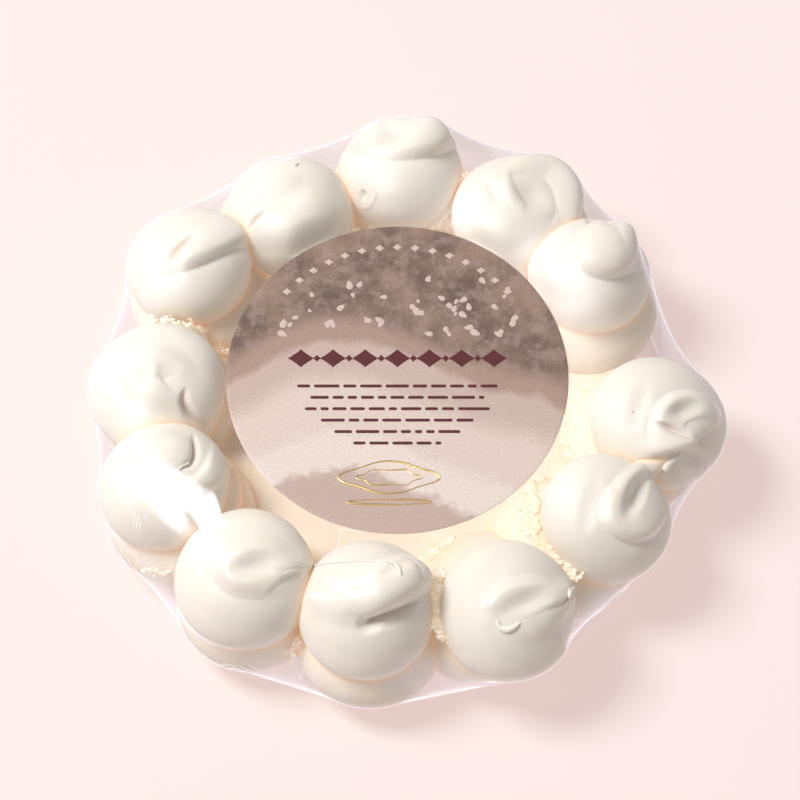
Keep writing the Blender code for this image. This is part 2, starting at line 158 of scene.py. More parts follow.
# %% [markdown]
# ## Meshes from arrays
#
# Every shape here is a surface with two parameters, computed as whole arrays. A closed one is a
# globe: rings of points between two poles. The helpers below list the faces of such a grid and put
# arrays into a mesh.

# %% Mesh helpers


def put_mesh(name, points, quads, triangles, material, marks=None):
    """A smooth mesh object from points in millimetres and rows of corner numbers.

    marks is a dictionary of one number per point, kept on the mesh as attributes.
    """
    mesh = bpy.data.meshes.new(name)
    placed = (np.asarray(points) + ring_middle) * MM
    mesh.vertices.add(len(placed))
    mesh.vertices.foreach_set("co", placed.astype(np.float32).ravel())
    corners = np.concatenate([np.ravel(quads), np.ravel(triangles)]).astype(np.int32)
    sizes = np.concatenate([np.full(len(quads), 4), np.full(len(triangles), 3)])
    starts = np.concatenate([[0], np.cumsum(sizes)[:-1]]).astype(np.int32)
    mesh.loops.add(len(corners))
    mesh.loops.foreach_set("vertex_index", corners)
    mesh.polygons.add(len(sizes))
    mesh.polygons.foreach_set("loop_start", starts)
    mesh.update(calc_edges=True)
    mesh.validate()
    mesh.shade_smooth()
    for mark, values in (marks or {}).items():
        attribute = mesh.attributes.new(mark, "FLOAT", "POINT")
        attribute.data.foreach_set("value", np.asarray(values, np.float32).ravel())
    mesh.materials.append(material)
    piece = bpy.data.objects.new(name, mesh)
    bpy.context.scene.collection.objects.link(piece)
    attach(piece, "root")
    return piece


def band_quads(rows, columns, first=0):
    """Faces between rows rings of columns points, each ring closed on itself."""
    row, column = np.meshgrid(np.arange(rows - 1), np.arange(columns), indexing="ij")
    after = (column + 1) % columns
    here = first + row * columns
    quads = np.stack([here + column, here + columns + column, here + columns + after, here + after], -1)
    return quads.reshape(-1, 4)


def fan(pole, ring, outwards):
    """Triangles from one pole point to a ring of points."""
    after = np.roll(ring, -1)
    poles = np.full(len(ring), pole)
    rows = [poles, ring, after] if outwards else [poles, after, ring]
    return np.stack(rows, -1)


def put_globe(name, grid, material, marks=None):
    """A closed mesh from a grid whose first and last rows are poles, each one point repeated."""
    rows, columns = grid.shape[:2]
    rings = rows - 2
    points = np.concatenate([grid[:1, 0], grid[1:-1].reshape(-1, 3), grid[-1:, 0]])
    quads = band_quads(rings, columns, first=1)
    last = 1 + rings * columns
    triangles = np.concatenate(
        [fan(0, np.arange(columns) + 1, True), fan(last, np.arange(columns) + last - columns, False)]
    )
    kept = {
        mark: np.concatenate([values[:1, 0], values[1:-1].ravel(), values[-1:, 0]])
        for mark, values in (marks or {}).items()
    }
    return put_mesh(name, points, quads, triangles, material, kept)


def tube(line, radii, sides, lumps=1.0):
    """A closed tube along a line of points, as a grid with a pole at each end: round each point lie
    sides points at its radius, square to the line. lumps scales the radius of every point."""
    ahead = np.gradient(line, axis=0)
    ahead /= np.linalg.norm(ahead, axis=1)[:, None]
    first = np.cross(ahead, [0.13, 0.29, 0.95])
    first /= np.linalg.norm(first, axis=1)[:, None]
    second = np.cross(ahead, first)
    turn = (np.arange(sides) * 2 * np.pi / sides)[:, None]
    ring = first[:, None] * np.cos(turn) + second[:, None] * np.sin(turn)
    thick = np.ones((len(line), sides)) * np.reshape(radii, (-1, 1)) * lumps
    body = line[:, None] + ring * thick[..., None]
    ends = np.ones((sides, 1))
    return np.concatenate([(line[0] * ends)[None], body, (line[-1] * ends)[None]])


def joined(grids):
    """Many closed grids as one set of points, quads and triangles."""
    points, quads, triangles, first = [], [], [], 0
    for grid in grids:
        rows, columns = grid.shape[:2]
        last = first + 1 + (rows - 2) * columns
        points.append(np.concatenate([grid[:1, 0], grid[1:-1].reshape(-1, 3), grid[-1:, 0]]))
        quads.append(band_quads(rows - 2, columns, first + 1))
        triangles.append(fan(first, np.arange(columns) + first + 1, True))
        triangles.append(fan(last, np.arange(columns) + last - columns, False))
        first = last + 1
    return np.concatenate(points), np.concatenate(quads), np.concatenate(triangles)


# %% [markdown]
# ## The swirls
#
# A kiss is a round dome whose surface is given as a distance from its centre in every direction.
# That distance starts as a squashed ball that leans in over the hollow. The folds that the nozzle
# left are strands and laps. A strand is a chain of balls sunk into the dome and blended in with a
# rounded corner. A lap is the edge of foam that lies over foam: a rounded step along a line, which
# dies away behind it. Hollows and narrow creases are taken away. Because the swirls were all piped
# facing the same way, their places are given on a plane that leans back towards the front: p runs
# right and q runs up, from the kiss's centre.

# %% Swirl tools
FACE_LEAN = math.radians(26.0)
FACE = np.array(
    [
        [1.0, 0.0, 0.0],
        [0.0, math.cos(FACE_LEAN), math.sin(FACE_LEAN)],
        [0.0, -math.sin(FACE_LEAN), math.cos(FACE_LEAN)],
    ]
)


def fullness(points, shape):
    """1 on the plain dome: the sheared distance from its axis over its radius, and the height over
    its rise, squared, added and rooted."""
    height = points[..., 2]
    raised = np.maximum(height, 0.0)
    across = np.hypot(
        points[..., 0] - shape["lean"][0] * raised, points[..., 1] - shape["lean"][1] * raised
    )
    rise = np.where(height > 0, shape["top"], shape["under"])
    return np.hypot(across / shape["radius"], height / rise)


def smooth_curve(points, count):
    """A Catmull-Rom curve through the rows of points, read at count even steps."""
    knots = np.asarray(points, float)
    knots = np.vstack([2 * knots[0] - knots[1], knots, 2 * knots[-1] - knots[-2]])
    spans = len(knots) - 3
    along = np.linspace(0, spans, count)
    span = np.minimum(along.astype(int), spans - 1)
    u = (along - span)[:, None]
    a, b, c, d = (knots[span + i] for i in range(4))
    cubic = 2 * b + (c - a) * u + (2 * a - 5 * b + 4 * c - d) * u**2
    return 0.5 * (cubic + (3 * b - a - 3 * c + d) * u**3)


def onto_dome(face_places, shape):
    """Points of the plain dome under places of the face plane, and which of them are on it."""
    near = np.zeros(len(face_places))
    far = np.full(len(face_places), 3 * shape["radius"])
    for _ in range(40):
        middle = (near + far) / 2
        inside = fullness(np.column_stack([face_places, middle]) @ FACE, shape) < 1
        near = np.where(inside, middle, near)
        far = np.where(inside, far, middle)
    return np.column_stack([face_places, near]) @ FACE, near > 0.01


def strand_radius(directions, points, shape):
    """How far out a chain of balls reaches in each direction: the far root of ray meets ball, and
    the largest of them. A ball's centre is sunk so that it stands proud of the dome as stated."""
    curve = smooth_curve(points, 90)
    places, on_it = onto_dome(curve[:, :2], shape)
    sunk = np.where(on_it, curve[:, 2] - curve[:, 3], 0.0)
    centres = places * (1 - sunk / np.linalg.norm(places, axis=1))[:, None]
    reach = np.zeros(directions.shape[:-1])
    for centre, ball in zip(centres, curve[:, 2]):
        along = directions @ centre
        under_root = along**2 - centre @ centre + ball**2
        hit = along + np.sqrt(np.maximum(under_root, 0))
        reach = np.maximum(reach, np.where((under_root > 0) & (along > 0), hit, 0))
    return reach


def smooth_larger(first, second, blend):
    """The larger of two numbers, with the corner between them rounded over a width of blend."""
    share = np.clip(0.5 + 0.5 * (first - second) / blend, 0, 1)
    return second + (first - second) * share + blend * share * (1 - share)


def bowl(p, q, place):
    """Falls from 1 in the middle of a turned ellipse to 0 at its rim: one minus the squared
    distance in half lengths, squared."""
    p0, q0, half_length, half_width, heading = place
    turn = math.radians(heading)
    along = (p - p0) * math.cos(turn) + (q - q0) * math.sin(turn)
    aside = -(p - p0) * math.sin(turn) + (q - q0) * math.cos(turn)
    return np.maximum(1 - (along / half_length) ** 2 - (aside / half_width) ** 2, 0) ** 2


def groove(p, q, points, width):
    """A Gaussian trough along a curve, 1 on its line, narrowing and rising to nothing at its ends."""
    curve = smooth_curve(points, 40)
    taper = np.sin(np.pi * np.linspace(0.02, 0.98, 40)) ** 0.6
    deep = np.zeros_like(p)
    for (p0, q0), share in zip(curve, taper):
        apart = (p - p0) ** 2 + (q - q0) ** 2
        deep = np.maximum(deep, share * np.exp(-apart / (width * max(share, 0.35)) ** 2))
    return deep


def lap(p, q, points, lip, fade, crisp):
    """The edge of foam lapped over foam, along points (p, q, height) with the raised side on the
    left. Past the line it rises over the lip's width, as a quarter round where crisp is 1 and as a
    smooth step where it is 0, and then dies away as a Gaussian of width fade. On the right is a
    slight dip. The height at a place is that of the near part of the line."""
    curve = smooth_curve(points, 70)
    steps = np.gradient(curve[:, :2], axis=0)
    steps /= np.linalg.norm(steps, axis=1)[:, None]
    tall = curve[:, 2] * np.minimum(1, np.sin(np.pi * np.linspace(0, 1, 70)) * 2.2) ** 0.7
    right, up = p[..., None] - curve[:, 0], q[..., None] - curve[:, 1]
    apart = right**2 + up**2
    nearest = apart.argmin(-1)[..., None]
    best = np.take_along_axis(apart, nearest, -1)
    near = np.exp(-(apart - best) / 6.0)
    height = (near * tall).sum(-1) / near.sum(-1)
    side = np.take_along_axis(steps[:, 0] * up - steps[:, 1] * right, nearest, -1)[..., 0]
    away = np.sqrt(best[..., 0])
    share = np.minimum(away / lip, 1)
    step = crisp * np.sqrt(1 - (1 - share) ** 2) + (1 - crisp) * share**2 * (3 - 2 * share)
    step = step * np.exp(-((np.maximum(away - lip, 0) / fade) ** 2))
    dip = -0.2 * (0.4 + 0.6 * crisp) * np.exp(-((away / (0.4 * lip)) ** 2))
    return height * np.where(side > 0, step, dip)


def unevenness(directions, seed):
    """A few slow waves over the ball of directions, about one high in all: hand piping is uneven."""
    draw = np.random.default_rng(seed)
    waves = draw.normal(size=(7, 3)) * np.linspace(2.0, 5.5, 7)[:, None]
    phases = draw.uniform(0, 2 * np.pi, 7)
    heights = np.linspace(1.0, 0.35, 7)
    total = (np.sin(directions @ waves.T + phases) * heights).sum(-1)
    return total / heights.sum()


def blurred(chart, cells):
    """A Gaussian blur of a chart, wrapping round the turn and holding at the poles."""
    reach = int(3 * cells) + 1
    steps = np.arange(-reach, reach + 1)
    weights = np.exp(-0.5 * (steps / cells) ** 2)
    weights /= weights.sum()
    held = np.pad(chart, ((reach, reach), (0, 0)), mode="edge")
    down = sum(w * held[reach + s : reach + s + len(chart)] for w, s in zip(weights, steps))
    return sum(w * np.roll(down, s, axis=1) for w, s in zip(weights, steps))


print("face plane leans back", round(math.degrees(FACE_LEAN)), "degrees")

# %% [markdown]
# ## The two rings of kisses
#
# Each upper kiss is written out one by one, clockwise from the back, because no two swirls are alike.
# A strand is (rounding, points), each point being (p, q, radius, how far it stands proud). A lap is
# (points, lip, fade, crispness), each point being (p, q, height), raised on the left of its line. A
# hollow is (p, q, half length, half width, heading, depth), and a crease is (points, width, depth).
# The lower kisses are plain squat blobs, with a second coil showing under kiss 9.

# %% Kisses one by one
UPPER_HEIGHT = 34.0
INWARD_LEAN = 0.24


def outward_at(bearing):
    """The level direction of a bearing in degrees."""
    turn = math.radians(bearing)
    return np.array([math.cos(turn), math.sin(turn), 0.0])


def kiss(bearing, reach, radius, strands=(), laps=(), hollows=(), creases=()):
    """One upper kiss at its bearing in degrees and its distance from the middle."""
    outward = outward_at(bearing)
    return {
        "centre": outward * reach + np.array([0.0, 0.0, UPPER_HEIGHT]),
        "outward": outward,
        "radius": radius,
        "top": 22.0,
        "under": 23.0,
        "lean": -INWARD_LEAN * outward[:2],
        "strands": strands,
        "laps": laps,
        "hollows": hollows,
        "creases": creases,
        "uneven": 0.2,
    }


def plain_kiss(bearing, reach, radius, height=17.0, top=18.0, under=17.0):
    """One lower kiss: a squat blob with its widest part at its height."""
    outward = outward_at(bearing)
    plain = kiss(bearing, reach, radius)
    plain.update(
        centre=outward * reach + np.array([0.0, 0.0, height]),
        top=top,
        under=under,
        lean=np.zeros(2),
        uneven=0.6,
    )
    return plain


UPPER_RING = [
    kiss(  # 1, a scooped cap that hooks round to the right, and a round scar low on the left
        90, 95, 24.0,
        strands=[(2.4, [(-8, 8, 4, 0.5), (2, 9.5, 7, 2.2), (10, 12, 9, 4.6), (9, 17, 7, 4.2),
                        (0, 18.5, 5, 2.2)]),
                 (0.5, [(-14, -4, 1.1, 0.1), (-10.6, -6, 1.1, 0.5), (-9.6, -10, 1.1, 0.5),
                        (-12, -13.6, 1.1, 0.4), (-15.6, -14, 1.1, 0.1)])],
        laps=[([(-17, 6.5, 0.8), (-9, 4, 1.2), (0, 4, 1.8), (9, 5, 2.6), (16, 7, 3.2), (22, 10, 3)],
               3.4, 8.0, 0.6)],
        hollows=[(-1, 14, 13, 6.5, 24, 2.8), (-17, 15, 11, 8, 50, 3.6)],
        creases=[([(-17, 6.3), (-14, 8.4), (-10.5, 10.4)], 0.9, 2.6),
                 ([(-14.6, -7.5), (-14, -9.4), (-14.4, -11.4)], 0.9, 1.8)],
    ),
    kiss(  # 2, a wide shallow bowl inside a broad rim
        60, 88.5, 24.5,
        strands=[(3.0, [(-9, 15, 5, 0.8), (-1, 18, 5, 1.6), (6, 18.5, 6, 2.2), (14, 16.5, 8, 3.0),
                        (20, 9, 8.5, 3.2), (21, -1, 7, 1.8)]),
                 (2.0, [(-3.8, 14.6, 1.6, 0.5), (-4.4, 10.5, 3.4, 1.3), (-2.4, 6.5, 3.4, 1.2),
                        (1.4, 3, 2.4, 0.3)])],
        laps=[([(-4.5, 14.4, 0.4), (3, 15.6, 1.8), (10, 14, 2.4), (14.5, 8, 2.4), (15, 0, 1.6),
                (11, -7, 0.6)], 4.5, 5.0, 0.35)],
        hollows=[(6, 7, 10, 8, -25, 2.6), (-9, 8, 7, 3.2, -65, 1.7)],
    ),
    kiss(  # 3, a round knob folded over to the back
        35, 88, 23.3,
        strands=[(1.2, [(2, 8, 10, 4.4), (5, 10, 11.5, 7.4), (6.8, 11.8, 11.6, 8.0)])],
        laps=[([(-5, 16, 0.8), (-6.8, 10, 2), (-5.6, 4, 2.4), (-1, -0.4, 2.4), (8, -1.4, 2.4),
                (19, 2.4, 2.4)], 2.6, 7.0, 0.9),
              ([(12, 20, 0.6), (8.4, 17, 1.6), (7.6, 12, 1.6), (10, 7, 0.6)], 3.5, 5.0, 0.3)],
        hollows=[(-9, 0, 8, 5, -50, 0.8), (3, 18, 8, 3.4, -50, 2.2)],
    ),
    kiss(  # 4, a spiral with a pointed fold below it
        -7, 97.5, 25.3,
        laps=[([(18, -6, 1), (22.5, 2, 2), (19, 9, 2.6), (12, 12.6, 2.8), (3, 11.5, 3), (-3, 6, 2.8),
                (-5, -1, 1.8), (-4, -8, 0.6)], 4.5, 7.0, 0.35),
              ([(-9, -13, 0.6), (-3, -12, 2.4), (4, -10.2, 4.2), (10, -8, 4.8), (15, -4, 3)],
               3.0, 5.0, 0.8)],
        hollows=[(7, 5, 8, 4.6, 15, 2.6), (-9, 6, 12, 5, 70, 1.0), (12, -13, 9, 5, -30, 3.0)],
        creases=[([(-2.5, 1), (3, -1.8), (9.5, -5)], 1.0, 2.6)],
    ),
    kiss(  # 5, an oval loop drawn up to a tip
        -34, 92, 24.0,
        strands=[(1.4, [(5, 15, 5, 0.6), (11, 18, 4.6, 1.9), (16.5, 20.2, 3.6, 2.5),
                        (21, 22.8, 2.4, 1.4), (25.5, 26, 0.8, 0)])],
        laps=[([(12, 19, 1), (4, 16, 2.2), (-1.8, 10, 2.8), (-3, 2, 3), (1, -4.5, 3), (9, -7.5, 3.4),
                (17, -5, 3.4), (22, 2, 2.4)], 4.5, 9.0, 0.55)],
        hollows=[(9.5, 9.5, 11, 4.8, 62, 3.2), (-7, 6, 14, 5, 75, 1.0)],
    ),
    kiss(  # 6, an arch over a low lobe that ends in a nib, steep below it on the right
        -66, 97, 25.5,
        strands=[(2.6, [(4, -5, 9, 0.4), (12, -3, 8, 1.6), (19, 2.5, 4, 1.6), (23.4, 8.4, 1.4, 1.2)])],
        laps=[([(22.5, 8.5, 2.6), (14, 13.5, 2.6), (5, 14.5, 2.8), (-5, 11.5, 2.6), (-10.5, 5, 1.8),
                (-11, 0, 0.4)], 5.0, 8.0, 0.3),
              ([(10, 1.5, 0.6), (16, 3.6, 1.6), (21, 6.5, 2.4), (24, 10, 1)], 2.0, 3.5, 0.9)],
        hollows=[(5, 5, 12, 5, 18, 1.7), (-8, 14, 16, 5, 35, 0.8), (26, -7, 14, 7, 95, 5.0)],
    ),
    kiss(  # 7, a thick fold laid over a deep crease
        -98, 89.5, 25.0,
        strands=[(3.0, [(-17, 8, 9, 1.2), (-7, 10, 12, 3.6), (4, 12, 12.5, 5), (12, 13.5, 10, 4.8),
                        (18, 14, 8, 3)])],
        laps=[([(-3, 0.4, 0.6), (2, 0, 2.4), (9, 2.2, 4.6), (16, 5.2, 5.2), (24, 9, 4)], 4.6, 10.0, 0.8),
              ([(14.5, 10, 1), (13, 15, 1.8), (10.5, 19, 1.2)], 2.2, 5.0, 0.8)],
        hollows=[(1.5, -3, 6, 4.4, 15, 2.4), (10, -1, 9, 4, 15, 1.4)],
        creases=[([(0.5, -2.6), (4, -1), (11, 1.4), (19, 4.8)], 1.5, 4.0),
                 ([(12.5, 15), (8, 13), (4, 11)], 1.2, 1.4)],
    ),
    kiss(  # 8, a soft oval loop
        -127, 95, 25.7,
        laps=[([(24, 8, 0.6), (18, 13.5, 1.6), (8, 17.4, 2), (-3, 15.6, 2.2), (-10, 9, 2.2),
                (-10.5, 2, 2.2), (-5, -3.6, 2.4), (4, -5.6, 2.2), (12, -5, 1), (18, -4, 0.2)],
               6.0, 9.0, 0.15),
              ([(11, -1.4, 0.5), (15, 1.8, 1.6), (19.5, 4.4, 1.8), (26, 5.4, 1)], 2.0, 3.5, 0.8)],
        hollows=[(4.5, 6.5, 10, 5.5, 12, 2.2), (-6, 16, 16, 5, 25, 0.6)],
    ),
    kiss(  # 9, a mound with a second lobe lapped over its right side
        -156.5, 96, 24.0,
        strands=[(3.0, [(-8, 11, 10, 0.8), (0, 15.5, 11, 2.6), (6, 15, 9, 2.6)])],
        laps=[([(7, 9, 0.4), (5.6, 4, 1.2), (7.5, -1, 2.4), (14, -2.4, 3), (20, -0.4, 3.2),
                (26, 4, 3)], 5.0, 11.0, 0.6)],
        hollows=[(-10, 7, 8, 6, 60, 1.0)],
        creases=[([(12, 20), (12.8, 14), (11.8, 10), (7.5, 7.6)], 1.2, 2.8)],
    ),
    kiss(  # 10, a raised oval cap
        178.5, 91.5, 25.8,
        laps=[([(15.5, 3, 0.8), (15, 9, 1.4), (9, 15.5, 2), (1, 17.8, 2.6), (-8, 13, 3.2),
                (-12, 4.5, 3.4), (-9.5, -3, 3), (-1, -8, 2.6), (8, -10.5, 2)], 6.5, 12.0, 0.1)],
        hollows=[(-3, 5, 6, 4, 70, 0.8), (6, 7, 7, 4, 20, 0.8)],
        creases=[([(12, 0), (11.8, -5), (14.5, -10), (19, -14)], 1.6, 3.6)],
    ),
    kiss(  # 11, a tongue that widens to the right
        146, 97, 23.7,
        laps=[([(-12, -2.6, 0.6), (-4, -2.6, 1.6), (4, -0.6, 2.6), (12, 3, 3.2), (20, 7, 3.4),
                (25, 9, 3)], 4.4, 9.0, 0.5),
              ([(8, 15, 0.4), (3, 10.5, 1.2), (-2.5, 5, 2), (-5.5, 1, 1)], 3.2, 5.0, 0.6)],
        hollows=[(-6, 11, 12, 4, 45, 0.8)],
        creases=[([(-5.8, 0.8), (-4.2, 4.2), (-0.5, 8), (3.5, 11.5)], 1.4, 3.4)],
    ),
    kiss(  # 12, two low ridges either side of a slit
        119, 88, 24.6,
        strands=[(5.0, [(-11, 9, 8, 0.8), (-3, 13.5, 9, 2.2), (5, 16, 8, 2.4), (13, 14, 9, 1)]),
                 (5.0, [(-12, -7, 7, 0.4), (0, -5, 10, 1.4), (10, -2, 10, 1.2)])],
        hollows=[(-3, 3.6, 13, 4.5, 18, 1.8)],
        creases=[([(-14, -6), (-10.8, -1.8), (-8, 0.6)], 0.8, 3.0),
                 ([(-9, 0), (-3, 2), (4, 3)], 1.6, 1.2)],
    ),
]
LOWER_RING = [
    plain_kiss(90, 92, 28), plain_kiss(60, 90, 28), plain_kiss(32, 84, 27),
    plain_kiss(-8, 88, 27), plain_kiss(-42, 82, 28), plain_kiss(-69, 85, 30),
    plain_kiss(-97, 91, 28), plain_kiss(-126, 93.5, 28), plain_kiss(-153, 91.5, 28),
    plain_kiss(176, 88, 27), plain_kiss(146, 91, 28), plain_kiss(118, 90, 28),
]
SECOND_COIL = plain_kiss(-153.5, 89, 21.5, height=26.0, top=13.0, under=13.0)
LOWER_COILS = [*LOWER_RING, SECOND_COIL]
print(len(UPPER_RING), "upper and", len(LOWER_RING), "lower kisses")

# %% [markdown]
# ## From numbers to surfaces
#
# Directions are laid out as on a globe whose poles point at the neighbouring kisses, where nobody
# sees them. The distance is computed for all directions at once. Where a kiss reaches the label's
# film it is pressed back softly, as the tight film presses it.

# %% Charts of the kisses
UPPER_GRID = (170, 270)
LOWER_GRID = (72, 112)
PRESSED_SLOPE = 2.4
PRESSED_ROUNDING = 3.0
FLAT_MARGIN = 0.6


def chart_axes(shape):
    """Rows: the pole towards the next kiss, the outward direction, and up."""
    outward = shape["outward"]
    return np.array([[-outward[1], outward[0], 0.0], outward, [0.0, 0.0, 1.0]])


def chart_directions(shape, rows, columns):
    """Unit vectors on the grid: tilt from the pole down the rows, turn round it along them."""
    tilt, turn = np.meshgrid(
        np.linspace(0, np.pi, rows), np.arange(columns) * 2 * np.pi / columns, indexing="ij"
    )
    local = np.stack([np.cos(tilt), np.sin(tilt) * np.cos(turn), np.sin(tilt) * np.sin(turn)], -1)
    return local @ chart_axes(shape)


def pressed(radius, directions, shape):
    """The radius held softly under the distance at which its ray leaves the room below the film
    that rises from the label, found by halving."""
    near = np.zeros_like(radius)
    far = np.full_like(radius, 80.0)
    for _ in range(24):
        middle = (near + far) / 2
        points = directions * middle[..., None] + shape["centre"]
        beyond = np.hypot(points[..., 0] - LABEL_OFF_MIDDLE[0], points[..., 1] - LABEL_OFF_MIDDLE[1])
        beyond = np.maximum(beyond - label_radius - FLAT_MARGIN, 0)
        inside = points[..., 2] < film_seat - TOUCHING_GAP + PRESSED_SLOPE * beyond
        near = np.where(inside, middle, near)
        far = np.where(inside, far, middle)
    return -smooth_larger(-radius, -near, PRESSED_ROUNDING)


def kiss_chart(shape, grid, seed):
    """Distance from the kiss's centre in each direction of its grid, and how deep in a crease."""
    directions = chart_directions(shape, *grid)
    dome = 1 / fullness(directions, shape)
    face = (directions * dome[..., None]) @ FACE.T
    p, q = face[..., 0], face[..., 1]
    front = np.clip((face[..., 2] + 6) / 8, 0, 1)
    radius = dome
    for rounding, points in shape["strands"]:
        radius = smooth_larger(strand_radius(directions, points, shape), radius, rounding)
    for *place, depth in shape["hollows"]:
        radius = radius - depth * bowl(p, q, place) * front
    for points, lip, fade, crisp in shape["laps"]:
        radius = radius + lap(p, q, points, lip, fade, crisp) * front
    slit = np.zeros_like(radius)
    for points, width, depth in shape["creases"]:
        deep = groove(p, q, points, width) * front
        radius = radius - depth * deep
        # slit keeps how deep a crease is; the meringue material paints brown shade there
        slit = np.maximum(slit, deep * min(depth / 2.6, 1))
    radius = blurred(radius, 0.8) + shape["uneven"] * unevenness(directions, seed)
    radius[0], radius[-1] = radius[0].mean(), radius[-1].mean()
    return pressed(radius, directions, shape), slit


def read_chart(shape, offsets):
    """The charted radius towards each offset from the kiss's centre, between its four cells."""
    chart = shape["chart"]
    rows, columns = chart.shape
    local = offsets @ chart_axes(shape).T
    distance = np.maximum(np.linalg.norm(local, axis=-1), 1e-6)
    v = np.arccos(np.clip(local[..., 0] / distance, -1, 1)) / np.pi * (rows - 1)
    u = np.mod(np.arctan2(local[..., 2], local[..., 1]) / (2 * np.pi), 1) * columns
    row = np.minimum(v.astype(int), rows - 2)
    column = np.minimum(u.astype(int), columns - 1)
    after = (column + 1) % columns
    v, u = v - row, u - column
    upper = chart[row, column] * (1 - u) + chart[row, after] * u
    lower = chart[row + 1, column] * (1 - u) + chart[row + 1, after] * u
    return upper * (1 - v) + lower * v


for number, shape in enumerate(UPPER_RING):
    shape["chart"], shape["slit"] = kiss_chart(shape, UPPER_GRID, 40 + number)
for number, shape in enumerate(LOWER_COILS):
    shape["chart"], shape["slit"] = kiss_chart(shape, LOWER_GRID, 70 + number)
ALL_KISSES = UPPER_RING + LOWER_COILS
print("upper kisses reach", round(max(s["chart"].max() for s in UPPER_RING), 1), "mm at most")


def surface_points(shape):
    """The kiss's surface as a grid of points."""
    directions = chart_directions(shape, *shape["chart"].shape)
    return directions * shape["chart"][..., None] + shape["centre"]


def clearance(points, shape):
    """How far each point is outside a kiss, negative inside, along the line from its centre."""
    offsets = points - shape["centre"]
    return np.linalg.norm(offsets, axis=-1) - read_chart(shape, offsets)


def on_kiss(number, places, proud=0.0):
    """Points of upper kiss number (from 1) under places of the face plane, found by halving."""
    shape = UPPER_RING[number - 1]
    places = np.asarray(places, float)
    near, far = np.zeros(len(places)), np.full(len(places), 50.0)
    for _ in range(30):
        middle = (near + far) / 2
        offsets = np.column_stack([places, middle]) @ FACE
        inside = np.linalg.norm(offsets, axis=1) < read_chart(shape, offsets) + proud
        near, far = np.where(inside, middle, near), np.where(inside, far, middle)
    return np.column_stack([places, near]) @ FACE + shape["centre"]


# %% [markdown]
# ## Where the meringue broke and browned
#
# Kisses that touched in the oven are torn where they meet, and the dry sugar there is golden and
# crumbly. The strips below name those places, each from one point to another: bearing in degrees,
# distance from the middle, height. They mark the crusts near them and carry the crumbs.

# %% Torn strips
TORN_STRIPS = [  # start, end, how golden, golden crumbs, white flakes, thickness of the ragged edge
    ((75, 96, 38), (78, 88, 36), 0.7, 60, 60, 1.8),
    ((78, 88, 36), (82, 81, 28), 1.0, 80, 20, 1.7),
    ((82, 81, 28), (90, 78.5, 25), 1.0, 90, 14, 1.7),
    ((90, 78.5, 25), (101, 80, 24), 1.0, 90, 10, 1.3),
    ((101, 80, 24), (101, 88, 31), 0.9, 40, 10, 1.0),
    ((76, 80, 24), (81, 82, 26), 1.0, 70, 8, 1.4),
    ((158, 82, 24), (158, 69, 20), 1.2, 90, 6, 1.2),
    ((163.5, 97, 41), (161, 84, 38), 0.3, 20, 80, 0.7),
    ((161, 84, 36), (158.6, 79, 27), 1.2, 90, 10, 1.4),
    ((134, 84, 26), (133, 75, 22), 0.7, 40, 4, 0.9),
    ((131, 99, 36), (133, 92, 36), 0.3, 16, 30, 0.7),
    ((4, 73, 21), (-6, 67.5, 19), 1.0, 110, 12, 1.2),
    ((-6, 67.5, 19), (-13, 77, 21), 1.0, 90, 10, 1.1),
    ((-29, 62, 22), (-40, 70.5, 24), 1.1, 110, 8, 1.5),
    ((-40, 70.5, 24), (-47.5, 80, 29), 1.1, 110, 10, 1.7),
    ((-48.5, 85, 36), (-49.5, 99, 36), 0.3, 20, 90, 1.1),
    ((-78.5, 77, 39), (-81, 85, 40), 0.35, 40, 220, 3.4),
    ((-81, 85, 39), (-81.8, 94, 38), 0.6, 60, 80, 1.9),
    ((-81.8, 94, 38), (-80.7, 99.5, 35), 0.6, 30, 60, 1.3),
    ((-79, 70, 26), (-70, 62.5, 25), 0.8, 90, 8, 0.9),
    ((-145, 101, 21), (-147, 112, 20), 0.9, 70, 8, 1.0),
    ((-111, 100, 24), (-112, 108, 22), 0.8, 40, 6, 0.8),
]
STRIP_SAMPLES = 14


def at_bearing(bearing, reach, height):
    """A point by its bearing in degrees, its distance from the middle and its height."""
    turn = math.radians(bearing)
    return np.array([reach * math.cos(turn), reach * math.sin(turn), height])


def strip_line(strip, count):
    """Evenly spaced points along a torn strip."""
    start, end = at_bearing(*strip[0]), at_bearing(*strip[1])
    return start + (end - start) * np.linspace(0, 1, count)[:, None]


strip_points = np.concatenate([strip_line(strip, STRIP_SAMPLES) for strip in TORN_STRIPS])
strip_strength = np.repeat([strip[2] for strip in TORN_STRIPS], STRIP_SAMPLES)
print("torn strips:", len(TORN_STRIPS))


def torn_mark(points):
    """1 beside a torn strip, falling away over a few millimetres."""
    flat = points.reshape(-1, 3)
    mark = np.zeros(len(flat))
    for centre, strength in zip(strip_points, strip_strength):
        mark = np.maximum(mark, strength * np.exp(-((flat - centre) ** 2).sum(1) / (2 * 2.6**2)))
    return mark.reshape(points.shape[:-1])


# The nook mark carries painted warm shade and painted glow in the meringue material.
def nook_mark(points, own):
    """1 where another kiss touches this one, falling away over a millimetre or two."""
    gap = np.full(points.shape[:-1], 99.0)
    for other in ALL_KISSES:
        if other is not own:
            gap = np.minimum(gap, np.maximum(clearance(points, other), 0))
    return np.exp(-gap / 1.4)
